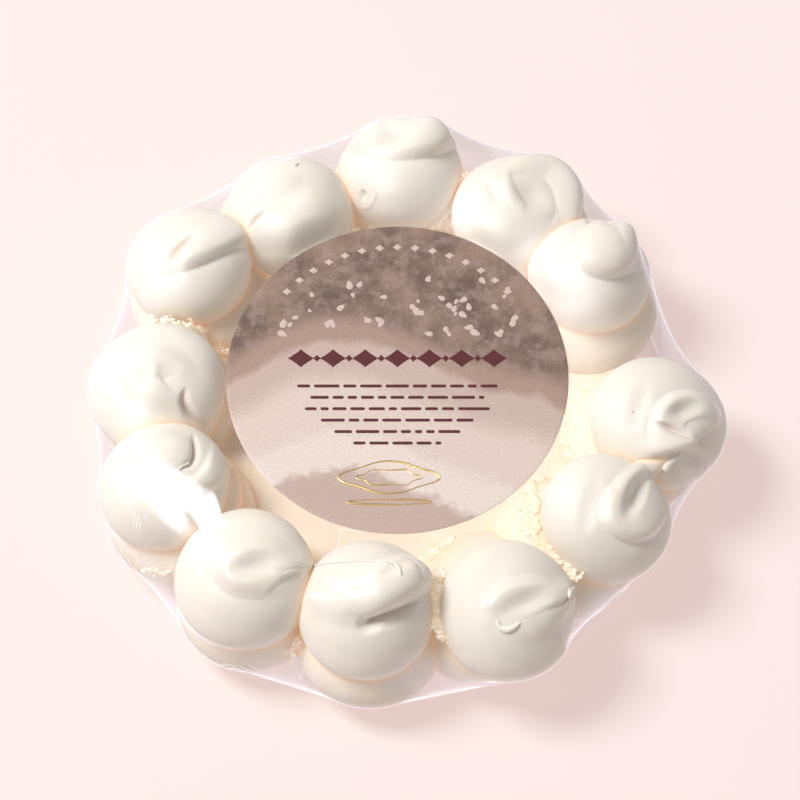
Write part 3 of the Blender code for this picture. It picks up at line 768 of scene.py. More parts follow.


# %% [markdown]
# ## Meringue crust
#
# Dried meringue is ivory, smooth and faintly satin, with fine sugar grain, a slow mottling of tone
# and a little light passing through it. One shader group makes the grain and the mottling, and the
# upper kisses, lower kisses, floor and crumbs all use it. Golden crumb shows only where marks on the
# mesh say so, broken up by noise.
# Where kisses touch, the nook mark adds golden painted warm shade, brown where the nook is torn (partly
# browned crust, partly painted shade). Creases are browned as painted shade, and nooks and tears get a faint
# painted warm glow.

# %% Shader group


def new_group(name, inputs, outputs):
    """An empty shader group with its sockets, and its input and output nodes."""
    group = bpy.data.node_groups.new(name, "ShaderNodeTree")
    for socket, kind, value in inputs:
        made = group.interface.new_socket(socket, in_out="INPUT", socket_type=kind)
        if value is not None:
            made.default_value = value
    for socket, kind in outputs:
        group.interface.new_socket(socket, in_out="OUTPUT", socket_type=kind)
    return group, group.nodes.new("NodeGroupInput"), group.nodes.new("NodeGroupOutput")


def noise(tree, vector, scale, detail=2.0, roughness=0.5):
    """A noise texture on a vector; its factor runs from 0 to 1 with a middle near a half."""
    node = tree.nodes.new("ShaderNodeTexNoise")
    node.inputs["Detail"].default_value = detail
    node.inputs["Roughness"].default_value = roughness
    tree.links.new(vector, node.inputs["Vector"])
    if isinstance(scale, (int, float)):
        node.inputs["Scale"].default_value = scale
    else:
        tree.links.new(scale, node.inputs["Scale"])
    return node.outputs["Fac"]


def maths(tree, operation, *values, clamp=False):
    """A maths node; each value is a number or a socket."""
    node = tree.nodes.new("ShaderNodeMath")
    node.operation = operation
    node.use_clamp = clamp
    for slot, value in enumerate(values):
        if isinstance(value, (int, float)):
            node.inputs[slot].default_value = value
        else:
            tree.links.new(value, node.inputs[slot])
    return node.outputs[0]


def rescaled(tree, value, low, high, to_low=0.0, to_high=1.0):
    """A smooth step that takes low to to_low and high to to_high."""
    node = tree.nodes.new("ShaderNodeMapRange")
    node.interpolation_type = "SMOOTHSTEP"
    for socket, number in zip(("From Min", "From Max", "To Min", "To Max"), (low, high, to_low, to_high)):
        node.inputs[socket].default_value = number
    tree.links.new(value, node.inputs["Value"])
    return node.outputs["Result"]


def mixed(tree, share, first, second, mode="MIX"):
    """Two colours mixed by a share; each is a colour or a socket."""
    node = tree.nodes.new("ShaderNodeMix")
    node.data_type = "RGBA"
    node.blend_type = mode
    for socket, value in ((node.inputs[0], share), (node.inputs[6], first), (node.inputs[7], second)):
        if isinstance(value, tuple):
            socket.default_value = (*value, 1.0)
        elif isinstance(value, (int, float)):
            socket.default_value = value
        else:
            tree.links.new(value, socket)
    return node.outputs[2]


def meringue_grain_group():
    """Tone: slow mottling round 0.5. Grain: the height of fine sugar grain and sparse pores."""
    group, inlet, outlet = new_group(
        "meringue_grain",
        [("Vector", "NodeSocketVector", None), ("Grain Scale", "NodeSocketFloat", 900.0)],
        [("Tone", "NodeSocketFloat"), ("Grain", "NodeSocketFloat")],
    )
    vector = inlet.outputs["Vector"]
    slow = noise(group, vector, 60.0, 3.0, 0.55)
    fine = noise(group, vector, inlet.outputs["Grain Scale"], 3.0, 0.6)
    middling = noise(group, vector, 260.0, 2.0, 0.5)
    pores = group.nodes.new("ShaderNodeTexVoronoi")
    pores.inputs["Scale"].default_value = 330.0
    group.links.new(vector, pores.inputs["Vector"])
    rare = rescaled(group, noise(group, vector, 140.0, 1.0), 0.66, 0.74)
    pit = rescaled(group, pores.outputs["Distance"], 0.10, 0.22, 1.0, 0.0)
    grain = maths(group, "MULTIPLY_ADD", fine, 0.25, maths(group, "MULTIPLY", middling, 0.75))
    grain = maths(group, "SUBTRACT", grain, maths(group, "MULTIPLY", pit, rare))
    group.links.new(slow, outlet.inputs["Tone"])
    group.links.new(grain, outlet.inputs["Grain"])
    return group


meringue_grain = meringue_grain_group()
print("shader group:", meringue_grain.name)

# %% Meringue materials
IVORY = (0.86, 0.818, 0.748)
IVORY_DEEP = (0.85, 0.795, 0.71)
GOLDEN = (0.86, 0.59, 0.34)
DEEP_BROWN = (0.60, 0.31, 0.13)


def new_material(name):
    """A material with its node tree, Principled shader and Object coordinates."""
    material = bpy.data.materials.new(name)
    material.use_nodes = True
    tree = material.node_tree
    shader = tree.nodes["Principled BSDF"]
    place = tree.nodes.new("ShaderNodeTexCoord").outputs["Object"]
    return material, tree, shader, place


def marked(tree, mark):
    """The number that a mesh attribute holds."""
    node = tree.nodes.new("ShaderNodeAttribute")
    node.attribute_name = mark
    return node.outputs["Fac"]


def bumped(tree, shader, height, distance, strength=1.0):
    """A bump from a height, its full height given in metres."""
    node = tree.nodes.new("ShaderNodeBump")
    node.inputs["Distance"].default_value = distance
    node.inputs["Strength"].default_value = strength
    tree.links.new(height, node.inputs["Height"])
    tree.links.new(node.outputs["Normal"], shader.inputs["Normal"])


def grained(tree, place, grain_scale):
    """The meringue grain group, set on a material's own coordinates."""
    grain = tree.nodes.new("ShaderNodeGroup")
    grain.node_tree = meringue_grain
    grain.inputs["Grain Scale"].default_value = grain_scale
    tree.links.new(place, grain.inputs["Vector"])
    return grain.outputs


def set_softness(shader, weight, scale):
    """Light that passes a little way through the sugar, red furthest."""
    shader.inputs["Subsurface Weight"].default_value = weight
    shader.inputs["Subsurface Radius"].default_value = (1.0, 0.72, 0.42)
    shader.inputs["Subsurface Scale"].default_value = scale
    shader.inputs["Specular IOR Level"].default_value = 0.25


# Strength of the painted warm glow in nooks and tears.
NOOK_PAINTED_GLOW = 0.16


def meringue_material(name, pale, deep, grain_scale, grain_height, roughness):
    """Ivory crust, golden and crumbly where the mesh is marked torn. Nooks where kisses touch get golden
    painted warm shade. Deep in torn nooks the colour goes brown, partly browned crust and partly painted
    shade, and in creases it goes brown as painted shade. A faint painted warm glow in nooks and tears
    stands for the light that thin sugar walls pass on there."""
    material, tree, shader, place = new_material(name)
    grain = grained(tree, place, grain_scale)
    colour = mixed(tree, rescaled(tree, grain["Tone"], 0.3, 0.7), deep, pale)
    crumbly = noise(tree, place, 420.0, 3.0, 0.65)
    torn, nook, slit = marked(tree, "torn"), marked(tree, "nook"), marked(tree, "slit")
    # Torn crust is golden of itself; the nook share adds golden painted warm shade where kisses touch.
    golden_crust_and_nook_shade = maths(tree, "MULTIPLY", torn, rescaled(tree, crumbly, 0.34, 0.64, 0.3, 1.1))
    golden_crust_and_nook_shade = maths(tree, "MULTIPLY_ADD", nook, 0.55, golden_crust_and_nook_shade, clamp=True)
    colour = mixed(tree, golden_crust_and_nook_shade, colour, GOLDEN)
    # Brown deep in torn nooks: partly browned crust, partly painted shade. Brown in creases: painted shade.
    brown_crust_and_crease_shade = maths(tree, "MULTIPLY", torn, rescaled(tree, nook, 0.55, 0.95))
    brown_crust_and_crease_shade = maths(tree, "MAXIMUM", brown_crust_and_crease_shade, maths(tree, "MULTIPLY", slit, 0.45))
    brown_crust_and_crease_shade = maths(tree, "MULTIPLY", brown_crust_and_crease_shade, 0.6, clamp=True)
    colour = mixed(tree, brown_crust_and_crease_shade, colour, DEEP_BROWN)
    tree.links.new(colour, shader.inputs["Base Color"])
    rough = rescaled(tree, grain["Grain"], 0.2, 0.8, roughness - 0.05, roughness + 0.08)
    tree.links.new(rough, shader.inputs["Roughness"])
    torn_height = maths(tree, "MULTIPLY", maths(tree, "MULTIPLY", crumbly, torn), 14.0)
    bumped(tree, shader, maths(tree, "ADD", grain["Grain"], torn_height), grain_height)
    set_softness(shader, 0.35, 0.003)
    # Painted glow: emission in nooks and tears stands for light passed on through thin sugar walls.
    painted_glow_share = maths(tree, "MULTIPLY_ADD", torn, 0.5, nook, clamp=True)
    tree.links.new(
        mixed(tree, painted_glow_share, (0.0, 0.0, 0.0), (1.0, 0.56, 0.26)), shader.inputs["Emission Color"]
    )
    shader.inputs["Emission Strength"].default_value = NOOK_PAINTED_GLOW
    return material


kiss_material = meringue_material("meringue_kiss", IVORY, IVORY_DEEP, 1400.0, 0.00004, 0.55)
# The lower kisses and the nest floor are a deeper, warmer ivory: partly a more baked crust, partly painted
# warm shade of the hollow.
lower_material = meringue_material(
    "meringue_lower", (0.86, 0.80, 0.70), (0.85, 0.76, 0.64), 1100.0, 0.00009, 0.55
)
floor_material = meringue_material(
    "meringue_floor", (0.86, 0.785, 0.685), (0.84, 0.75, 0.63), 1000.0, 0.00006, 0.50
)
print("meringue materials: 3")

# %% Upper and lower kisses
for kind, ring, material in (("upper", UPPER_RING, kiss_material), ("lower", LOWER_COILS, lower_material)):
    for number, shape in enumerate(ring, 1):
        points = surface_points(shape)
        marks = {"torn": torn_mark(points), "nook": nook_mark(points, shape), "slit": shape["slit"]}
        put_globe(f"{kind}_kiss_{number:02d}", points, material, marks)
print("kisses:", len(ALL_KISSES), "of", UPPER_GRID, "or", LOWER_GRID, "points")

# %% [markdown]
# ## The floor of the nest
#
# The floor is piped first, as a flat spiral smoothed with a palette knife: a low round slab with
# faint rings in it, which rises a little where it meets the lower kisses.

# %% Floor slab
FLOOR_RADIUS = 84.0
FLOOR_HEIGHT = 16.5
FLOOR_RINGS = 90
FLOOR_COLUMNS = 240


def floor_slab():
    """Height over a polar grid: flat, with shallow rings from the spiral and a slow unevenness,
    rising up to two millimetres towards the rim and closed underneath by a flat disc."""
    turn = np.arange(FLOOR_COLUMNS) * 2 * np.pi / FLOOR_COLUMNS
    along = np.linspace(0, 1, FLOOR_RINGS)[:, None]
    reach = FLOOR_RADIUS * along * np.ones_like(turn)
    x, y = reach * np.cos(turn), reach * np.sin(turn)
    spiral = np.sin(reach / 9.0 * 2 * np.pi + turn)
    slow = np.sin(x / 19 + 1.0) * np.cos(y / 23 - 0.4) + 0.5 * np.sin(x / 9 - y / 11)
    top = FLOOR_HEIGHT + 0.14 * spiral + 0.4 * slow + 2.0 * np.clip((reach - 50) / 34, 0, 1) ** 2
    upper = np.stack([x, y, top], -1)
    lower = upper[::-1].copy()
    lower[..., 2] = 1.0
    return np.concatenate([upper, lower])


floor_grid = floor_slab()
zeros = np.zeros(floor_grid.shape[:2])
floor_marks = {"torn": torn_mark(floor_grid), "nook": nook_mark(floor_grid, None), "slit": zeros}
nest_floor = put_globe("nest_floor", floor_grid, floor_material, floor_marks)
print("floor of the nest:", len(nest_floor.data.polygons), "faces")

# %% [markdown]
# ## Ragged edges, crumbs and flakes
#
# Along each torn strip runs a ragged edge of broken crust, lumpy and a millimetre or two thick.
# Golden crumbs lie beside it and white flakes stand on it. Crumbs and flakes are one mesh each: a
# twelve-cornered lump, copied by arrays with its own size, turn and dents, then pushed out of the
# kisses so that it lies on them.

# %% Ragged edges
GOLDEN_RATIO = (1 + 5**0.5) / 2
LUMP_POINTS = np.array(
    [
        (-1, GOLDEN_RATIO, 0), (1, GOLDEN_RATIO, 0), (-1, -GOLDEN_RATIO, 0), (1, -GOLDEN_RATIO, 0),
        (0, -1, GOLDEN_RATIO), (0, 1, GOLDEN_RATIO), (0, -1, -GOLDEN_RATIO), (0, 1, -GOLDEN_RATIO),
        (GOLDEN_RATIO, 0, -1), (GOLDEN_RATIO, 0, 1), (-GOLDEN_RATIO, 0, -1), (-GOLDEN_RATIO, 0, 1),
    ]
) / math.hypot(1, GOLDEN_RATIO)
LUMP_FACES = np.array(
    [
        (0, 11, 5), (0, 5, 1), (0, 1, 7), (0, 7, 10), (0, 10, 11), (1, 5, 9), (5, 11, 4),
        (11, 10, 2), (10, 7, 6), (7, 1, 8), (3, 9, 4), (3, 4, 2), (3, 2, 6), (3, 6, 8), (3, 8, 9),
        (4, 9, 5), (2, 4, 11), (6, 2, 10), (8, 6, 7), (9, 8, 1),
    ]
)
NO_QUADS = np.empty((0, 4), int)


def push_outside(points, kisses, gap):
    """Moves every point that is inside a kiss straight out from that kiss's centre."""
    for shape in kisses:
        offsets = points - shape["centre"]
        distance = np.linalg.norm(offsets, axis=1)
        near = np.flatnonzero(distance < shape["widest"] + gap)
        limit = read_chart(shape, offsets[near]) + gap
        inside = distance[near] < limit
        moved = near[inside]
        points[moved] = shape["centre"] + offsets[moved] * (limit[inside] / distance[moved])[:, None]


for shape in ALL_KISSES:
    shape["widest"] = shape["chart"].max()


def smooth_draw(draw, count, columns, cells):
    """Columns of chance numbers, blurred along their rows and scaled back to a spread of one."""
    reach = 3 * cells
    weights = np.exp(-0.5 * (np.arange(-reach, reach + 1) / cells) ** 2)
    weights /= np.sqrt((weights**2).sum())
    drawn = draw.normal(size=(count + 2 * reach, columns))
    return sum(weight * drawn[i : i + count] for i, weight in enumerate(weights))


def ragged_edge(strip, draw):
    """A lumpy tube along a torn strip, wandering a little and laid on the kisses: its radius is the
    strip's thickness, swollen and pinched by blurred chance from 0.3 to 1.7 times."""
    samples = max(12, int(np.linalg.norm(at_bearing(*strip[0]) - at_bearing(*strip[1])) * 3.5))
    line = strip_line(strip, samples)
    line = line + smooth_draw(draw, samples, 3, 3) * 0.5
    for _ in range(3):
        push_outside(line, ALL_KISSES, -0.5 * strip[5])
    swell = np.clip(1 + 0.5 * smooth_draw(draw, samples, 14, 1), 0.3, 1.7)
    taper = np.sqrt(np.sin(np.pi * np.linspace(0.04, 0.96, samples)))
    return tube(line, strip[5] * taper, 14, swell)


def crumb_material(name, pale, deep):
    """Dry sugar crumb: grainy, matt, and with a painted warm glow for the light that the sugar about it
    passes on.
    """
    material, tree, shader, place = new_material(name)
    grain = grained(tree, place, 2200.0)
    patch = rescaled(tree, noise(tree, place, 500.0, 2.0), 0.38, 0.62)
    tree.links.new(mixed(tree, patch, deep, pale), shader.inputs["Base Color"])
    tree.links.new(rescaled(tree, grain["Grain"], 0.2, 0.8, 0.6, 0.8), shader.inputs["Roughness"])
    bumped(tree, shader, grain["Grain"], 0.00015)
    set_softness(shader, 0.3, 0.0015)
    # Painted glow: a faint warm emission for the light the sugar passes on.
    shader.inputs["Emission Color"].default_value = (1.0, 0.84, 0.62, 1.0)
    shader.inputs["Emission Strength"].default_value = 0.20
    return material


edge_draw = np.random.default_rng(5)
edge_grids = [ragged_edge(strip, edge_draw) for strip in TORN_STRIPS]
edge_material = crumb_material("ragged_crust", (0.90, 0.83, 0.70), (0.88, 0.70, 0.46))
put_mesh("ragged_edges", *joined(edge_grids), edge_material)
print("ragged edges:", len(edge_grids))

# %% Crumbs and flakes


def random_turns(draw, count):
    """Turning matrices from random unit quaternions."""
    w, x, y, z = draw.normal(size=(4, count))
    size = np.sqrt(w * w + x * x + y * y + z * z)
    w, x, y, z = w / size, x / size, y / size, z / size
    rows = [
        [1 - 2 * (y * y + z * z), 2 * (x * y - w * z), 2 * (x * z + w * y)],
        [2 * (x * y + w * z), 1 - 2 * (x * x + z * z), 2 * (y * z - w * x)],
        [2 * (x * z - w * y), 2 * (y * z + w * x), 1 - 2 * (x * x + y * y)],
    ]
    return np.moveaxis(np.array(rows), -1, 0)


def lumps(centres, sizes, flatness, draw):
    """Points and faces of many dented lumps: each a copy squeezed to its flatness, turned and set
    at its centre."""
    count = len(centres)
    dents = draw.uniform(0.65, 1.25, (count, 12, 1))
    stretch = np.stack([draw.uniform(0.8, 1.3, count), draw.uniform(0.8, 1.3, count), flatness], -1)
    shaped = LUMP_POINTS[None] * dents * stretch[:, None] * sizes[:, None, None]
    turned = np.einsum("nij,nkj->nki", random_turns(draw, count), shaped)
    points = (turned + centres[:, None]).reshape(-1, 3)
    faces = (LUMP_FACES[None] + 12 * np.arange(count)[:, None, None]).reshape(-1, 3)
    return points, NO_QUADS, faces


def strewn(column, spread, gap, draw):
    """Places along the torn strips, as many as the strip's column says, pushed out of the kisses."""
    places = []
    for strip in TORN_STRIPS:
        start, end, count = at_bearing(*strip[0]), at_bearing(*strip[1]), strip[column]
        share = draw.uniform(-0.05, 1.05, (count, 1))
        places.append(start + (end - start) * share + draw.normal(size=(count, 3)) * spread)
    places = np.concatenate(places)
    for _ in range(3):
        push_outside(places, ALL_KISSES, gap)
    return places


CRUMB_KINDS = [  # name, strip column, spread, gap, smallest and added size, flatness, colours
    ("golden_crumbs", 3, 1.5, -0.1, 0.20, 0.62, (0.5, 1.0), (0.93, 0.78, 0.54), (0.82, 0.52, 0.24)),
    ("white_flakes", 4, 0.9, 0.1, 0.50, 1.3, (0.3, 0.7), (0.92, 0.88, 0.80), (0.90, 0.83, 0.70)),
]
for name, column, spread, gap, smallest, added, flat, pale, deep in CRUMB_KINDS:
    draw = np.random.default_rng(10 + column)
    places = strewn(column, spread, gap, draw)
    sizes = smallest + added * draw.beta(1.2, 2.8, len(places))
    flatness = draw.uniform(*flat, len(places))
    put_mesh(name, *lumps(places, sizes, flatness, draw), crumb_material(name + "_sugar", pale, deep))
    print(name, len(places))

# %% [markdown]
# ## Threads and tips
#
# Where a swirl was finished, the foam was pulled off in a thread, which broke. One long thread runs
# from kiss 8 over to the top of kiss 7 and ends in a bent tip. Small tips stand on kisses 9 and 12,
# a raised chip and a nib on kiss 6, the drawn-out end of kiss 5 on kiss 4, and a small dark lump
# makes one dark speck on kiss 4.

# %% Sugar threads
THREADS = [  # kiss number, places (p, q) on it, radii along it, how proud
    (8, [(15, 3.4), (18, 4.6), (22, 5.2), (25.5, 5.4)], (0.45, 0.35, 0.30), 0.25),
    (7, [(-25, 15.5), (-16, 18.2), (-6, 19.4), (2, 19.8), (8.5, 19.6)], (0.30, 0.35, 0.45), 0.30),
    (7, [(8.5, 19.6), (10.8, 18.8), (12.2, 17.0), (12.8, 15.2)], (0.5, 0.75, 0.3), 0.50),
    (4, [(1.2, -16.6), (2.4, -14.7), (5, -12.8), (7.2, -10.8)], (1.8, 1.5, 0.9, 0.2), 0.2),
    (6, [(20.5, 3), (21.4, 5.4), (22.2, 8.0), (22.0, 9.6)], (0.2, 0.7, 0.9, 0.2), 0.2),
    (9, [(10.5, 9.6), (9.2, 8.8), (8, 8.2), (7.2, 7.2)], (0.75, 0.5, 0.3), 0.35),
    (12, [(2.8, 18.0), (3.6, 18.6), (4.4, 19.0)], (0.5, 0.4, 0.2), 0.45),
    (6, [(-4.4, -1.6), (-3.4, -4.2), (-0.6, -5.0), (2.0, -3.8), (3.8, -2.4)], (0.5, 1.1, 1.2, 1, 0.4), 0.10),
]


def thread(number, places, radii, proud):
    """A thin tube on one kiss along its smooth curve, its radius read along the list of radii."""
    line = on_kiss(number, smooth_curve([(*place, 0) for place in places], 26)[:, :2], proud)
    share = np.linspace(0, 1, 26)
    return tube(line, np.interp(share, np.linspace(0, 1, len(radii)), radii), 10)


put_mesh("sugar_threads", *joined([thread(*row) for row in THREADS]), kiss_material)
# A small dark lump for the dark speck on kiss 4.
speck_place = on_kiss(4, [(-11, 4.5)], -0.1)
speck = lumps(speck_place, np.array([0.42]), np.array([0.5]), np.random.default_rng(3))
put_mesh("dark_speck", *speck, crumb_material("dark_speck_sugar", (0.34, 0.22, 0.13), (0.20, 0.12, 0.07)))
print("threads and tips:", len(THREADS))

# %% [markdown]
# ## Shrink film
#
# The film is a tight skin. It starts as a loose arch from the label's edge to the ground. Each round
# moves every point towards the middle of its neighbours and then out of any kiss that it went into,
# which is how a skin under tension settles. It is solved on a coarse grid first and then on finer
# ones, because slow bends settle fastest there.

# %% Film form
FILM_GRIDS = [(33, 160, 420), (65, 320, 90), (129, 640, 45)]
HOOP_SHARE = (0.25, 0.72)
ARCH_UP = 38.0
ARCH_OUT = 32.0
FOOT_INSET = 6.0


def foot_outline(turns):
    """The film's foot on the ground: round the lower kisses, and straight across between them."""
    steps = np.stack([np.cos(turns), np.sin(turns)], -1)
    reach = np.zeros(len(turns))
    for shape in LOWER_RING:
        centre = shape["centre"][:2]
        foot = shape["radius"] - FOOT_INSET
        along = steps @ centre
        under_root = along**2 - centre @ centre + foot**2
        hit = along + np.sqrt(np.maximum(under_root, 0))
        reach = np.maximum(reach, np.where(under_root > 0, hit, 0))
    outline = steps * reach.max()
    for _ in range(len(turns) * 3):
        outline = (np.roll(outline, 1, axis=0) + np.roll(outline, -1, axis=0)) / 2
        length = np.maximum((outline * steps).sum(axis=1), reach)
        outline = steps * length[:, None]
    return outline


def loose_arch(rows, columns):
    """The film before it is tightened, as rings from the label's edge down to the foot."""
    turns = np.arange(columns) * 2 * np.pi / columns
    steps = np.stack([np.cos(turns), np.sin(turns)], -1)
    arch = np.linspace(0, 1, rows)[:, None]
    inner = LABEL_OFF_MIDDLE + (label_radius + FLAT_MARGIN) * steps
    swell = np.sin(np.pi * arch)
    film = np.empty((rows, columns, 3))
    film[..., :2] = inner * (1 - arch)[..., None] + foot_outline(turns) * arch[..., None]
    film[..., :2] += (ARCH_OUT * swell * arch)[..., None] * steps
    film[..., 2] = film_seat * (1 - arch**2) + ARCH_UP * swell
    return film


def tightened(film, rounds):
    """The film after some rounds of pulling towards its neighbours and out of the kisses."""
    arch = np.linspace(0, 1, len(film))[1:-1, None, None]
    hoop = HOOP_SHARE[0] + (HOOP_SHARE[1] - HOOP_SHARE[0]) * np.clip((arch - 0.35) / 0.3, 0, 1)
    for _ in range(rounds):
        round_it = (np.roll(film, 1, axis=1) + np.roll(film, -1, axis=1))[1:-1] / 2
        down_it = (film[2:] + film[:-2]) / 2
        film[1:-1] += 0.8 * (round_it * hoop + down_it * (1 - hoop) - film[1:-1])
        loose = film[1:-1].reshape(-1, 3)
        push_outside(loose, ALL_KISSES, TOUCHING_GAP)
        film[1:-1] = loose.reshape(film[1:-1].shape)
        film[..., 2] = np.maximum(film[..., 2], 0)
    return film


def refined(film, rows, columns):
    """The film read between its points on a finer grid, with its pinned edges worked out again."""
    old_rows, old_columns = film.shape[:2]
    v = np.linspace(0, old_rows - 1, rows)
    u = np.arange(columns) * old_columns / columns
    row = np.minimum(v.astype(int), old_rows - 2)
    column = u.astype(int)
    v, u = (v - row)[:, None, None], (u - column)[None, :, None]
    after = (column + 1) % old_columns
    upper = film[row][:, column] * (1 - u) + film[row][:, after] * u
    lower = film[row + 1][:, column] * (1 - u) + film[row + 1][:, after] * u
    finer = upper * (1 - v) + lower * v
    pinned = loose_arch(3, columns)
    finer[0], finer[-1] = pinned[0], pinned[-1]
    return finer


film_grid = loose_arch(*FILM_GRIDS[0][:2])
for rows, columns, rounds in FILM_GRIDS:
    if film_grid.shape[:2] != (rows, columns):
        film_grid = refined(film_grid, rows, columns)
    film_grid = tightened(film_grid, rounds)
print("film grid", film_grid.shape[:2], "top at", round(film_grid[..., 2].max(), 1), "mm")

# %% Film details
def film_point(share, bearing):
    """A point of the film at a share of the way down its rings and at a bearing in degrees."""
    rows, columns = film_grid.shape[:2]
    v, u = share * (rows - 1), np.mod(bearing / 360, 1) * columns
    row, column = np.minimum(v.astype(int), rows - 2), u.astype(int) % columns
    after = (column + 1) % columns
    v, u = (v - row)[..., None], (u - u.astype(int))[..., None]
    upper = film_grid[row, column] * (1 - u) + film_grid[row, after] * u
    lower = film_grid[row + 1, column] * (1 - u) + film_grid[row + 1, after] * u
    return upper * (1 - v) + lower * v


def on_film(bearing, wanted, measure, lift):
    """Points of the film by bearing and by "reach", on its upper side, or "height", on its wall:
    the first place down the film where the measure passes the wanted number, lifted outwards."""
    shares = np.linspace(0, 1, 300)
    bearing, wanted = np.asarray(bearing, float), np.asarray(wanted, float)
    ladder = film_point(shares[:, None], bearing.ravel()[None] * np.ones((300, 1)))
    field = np.hypot(ladder[..., 0], ladder[..., 1]) if measure == "reach" else -ladder[..., 2]
    level = wanted.ravel() if measure == "reach" else -wanted.ravel()
    found = film_point(shares[np.argmax(field >= level, axis=0)], bearing.ravel())
    turn = np.radians(bearing.ravel())
    outward = np.stack([np.cos(turn), np.sin(turn), np.ones_like(turn)], -1)
    return found.reshape(*bearing.shape, 3) + 0.7 * lift * outward.reshape(*bearing.shape, 3)


clear_of_kisses = np.min([clearance(film_grid, shape) for shape in ALL_KISSES], axis=0)
wall = np.clip((42 - film_grid[..., 2]) / 6, 0, 1)
bridge = np.clip((clear_of_kisses - 0.6) / 2.5, 0, 1) * (0.3 + 0.7 * wall)
contact = np.exp(-(((clear_of_kisses - 1.1) / 0.45) ** 2)) * wall
bearing_of = np.degrees(np.arctan2(film_grid[..., 1], film_grid[..., 0]))
in_front = np.exp(-((np.mod(bearing_of + 100 + 180, 360) - 180) / 55) ** 4)
print("film spans free over", round(float(bridge.mean()) * 100), "percent of its rings")

# %% [markdown]
# ## Film finish
#
# Clear film is see-through face on, and a mirror at a glancing look. So a transparent shader and a
# faintly lilac one, part mirror and part milky, are mixed by how far the film is turned away: very
# little face on, rising with the fourth power, close to real film's reflection. Marks on the mesh add
# a breath of haze where the film spans free and a fine bright line where it leaves the meringue.
# The Fresnel node isn't used, because on the far walls it would act as the inside of solid plastic.
# The film casts no shadow of its own. A very fine bump gives it the slight waviness of shrunk film.
# Its satin part also glows: a painted bright rim at a glancing look, and a painted sheen where it
# spans free in front.

# %% Film material
FACE_ON_SHARE = 0.065
FREE_SHARE = 0.20
PAINTED_RIM_GLOW = 0.55
LINE_SHARE = 0.16


def film_material(name, face_on, metallic, roughness, wave_height):
    """Film: a transparent shader and a lilac-white satin one, mixed by angle and by marks. The satin one
    glows: a painted bright rim at a glancing look and a painted sheen where the film spans free in front.
    """
    material, tree, shader, place = new_material(name)
    shader.inputs["Base Color"].default_value = (0.74, 0.72, 0.80, 1.0)
    shader.inputs["Metallic"].default_value = metallic
    rough = maths(tree, "MULTIPLY_ADD", marked(tree, "in_front"), -0.45, roughness + 0.45)
    tree.links.new(rough, shader.inputs["Roughness"])
    slow, quick = noise(tree, place, 70.0, 2.0, 0.5), noise(tree, place, 300.0, 2.0)
    waves = maths(tree, "MULTIPLY_ADD", quick, 0.15, slow)
    bumped(tree, shader, waves, wave_height, 0.5)
    clear = tree.nodes.new("ShaderNodeBsdfTransparent")
    turned = tree.nodes.new("ShaderNodeLayerWeight")
    turned.inputs["Blend"].default_value = 0.5
    glancing = maths(tree, "POWER", turned.outputs["Facing"], 4.0)
    share = maths(tree, "MULTIPLY_ADD", marked(tree, "bridge"), FREE_SHARE, face_on)
    share = maths(tree, "MULTIPLY_ADD", marked(tree, "contact"), LINE_SHARE, share)
    share = maths(tree, "MULTIPLY_ADD", glancing, 0.85, share, clamp=True)
    # Painted rim and sheen: emission rising at a glancing look, and where the film spans free in front.
    painted_sheen = maths(tree, "MULTIPLY", marked(tree, "bridge"), marked(tree, "in_front"))
    painted_sheen = maths(tree, "MULTIPLY_ADD", painted_sheen, 0.25, glancing, clamp=True)
    tree.links.new(
        mixed(tree, painted_sheen, (0.0, 0.0, 0.0), (0.93, 0.92, 1.0)), shader.inputs["Emission Color"]
    )
    shader.inputs["Emission Strength"].default_value = PAINTED_RIM_GLOW
    blend = tree.nodes.new("ShaderNodeMixShader")
    tree.links.new(share, blend.inputs[0])
    tree.links.new(clear.outputs[0], blend.inputs[1])
    tree.links.new(shader.outputs[0], blend.inputs[2])
    tree.links.new(blend.outputs[0], tree.nodes["Material Output"].inputs["Surface"])
    return material


def film_globe(grid, top, base):
    """A film grid as a closed skin: a flat disc within its first ring and one within its last."""
    inner = top + (grid[:1] - top) * np.linspace(0, 1, 5)[:-1, None, None]
    outer = base + (grid[-1:] - base) * np.linspace(1, 0, 5)[1:, None, None]
    return np.concatenate([inner, grid, outer])


def film_mark(values):
    """A film mark with zeros on the two flat discs."""
    return film_globe(values[..., None], np.zeros(1), np.zeros(1))[..., 0]


film_surface = film_globe(film_grid, np.append(LABEL_OFF_MIDDLE, film_seat), np.zeros(3))
film_marks = {
    "bridge": film_mark(bridge),
    "contact": film_mark(contact),
    "in_front": film_mark(in_front),
}
clear_film = film_material("clear_film", FACE_ON_SHARE, 0.7, 0.10, 0.0004)
shrink_film = put_globe("shrink_film", film_surface, clear_film, film_marks)
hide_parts("wrapped_meringue")
print("film faces:", len(shrink_film.data.polygons))

# %% [markdown]
# ## Pleat, wrinkles and scratches
#
# Where too much film gathered it folded over on itself: one broad pale pleat lies over kiss 9 and
# ends on the shoulder of kiss 8. Its pale colour and glow paint the broad highlight of the softbox on
# the film there. Fine wrinkles stand in the film under kiss 8, bright lines run along the walls
# between the kisses, and there are short scratches on kiss 9, all pale and faintly glowing as a
# painted glint.

# %% Pleat
PLEAT_EDGES = [  # bearing and distance along its outer edge, then along its inner edge
    [(-155, 113.2), (-154.1, 105), (-150.6, 100.1), (-147.1, 99.2), (-144.4, 96.9),
     (-141.1, 96.1), (-137, 97.4)],
    [(-160.3, 109.2), (-158.1, 101), (-156.2, 94), (-151.6, 89.6), (-147.5, 85.8),
     (-143, 83.4), (-134.6, 88.4)],
]


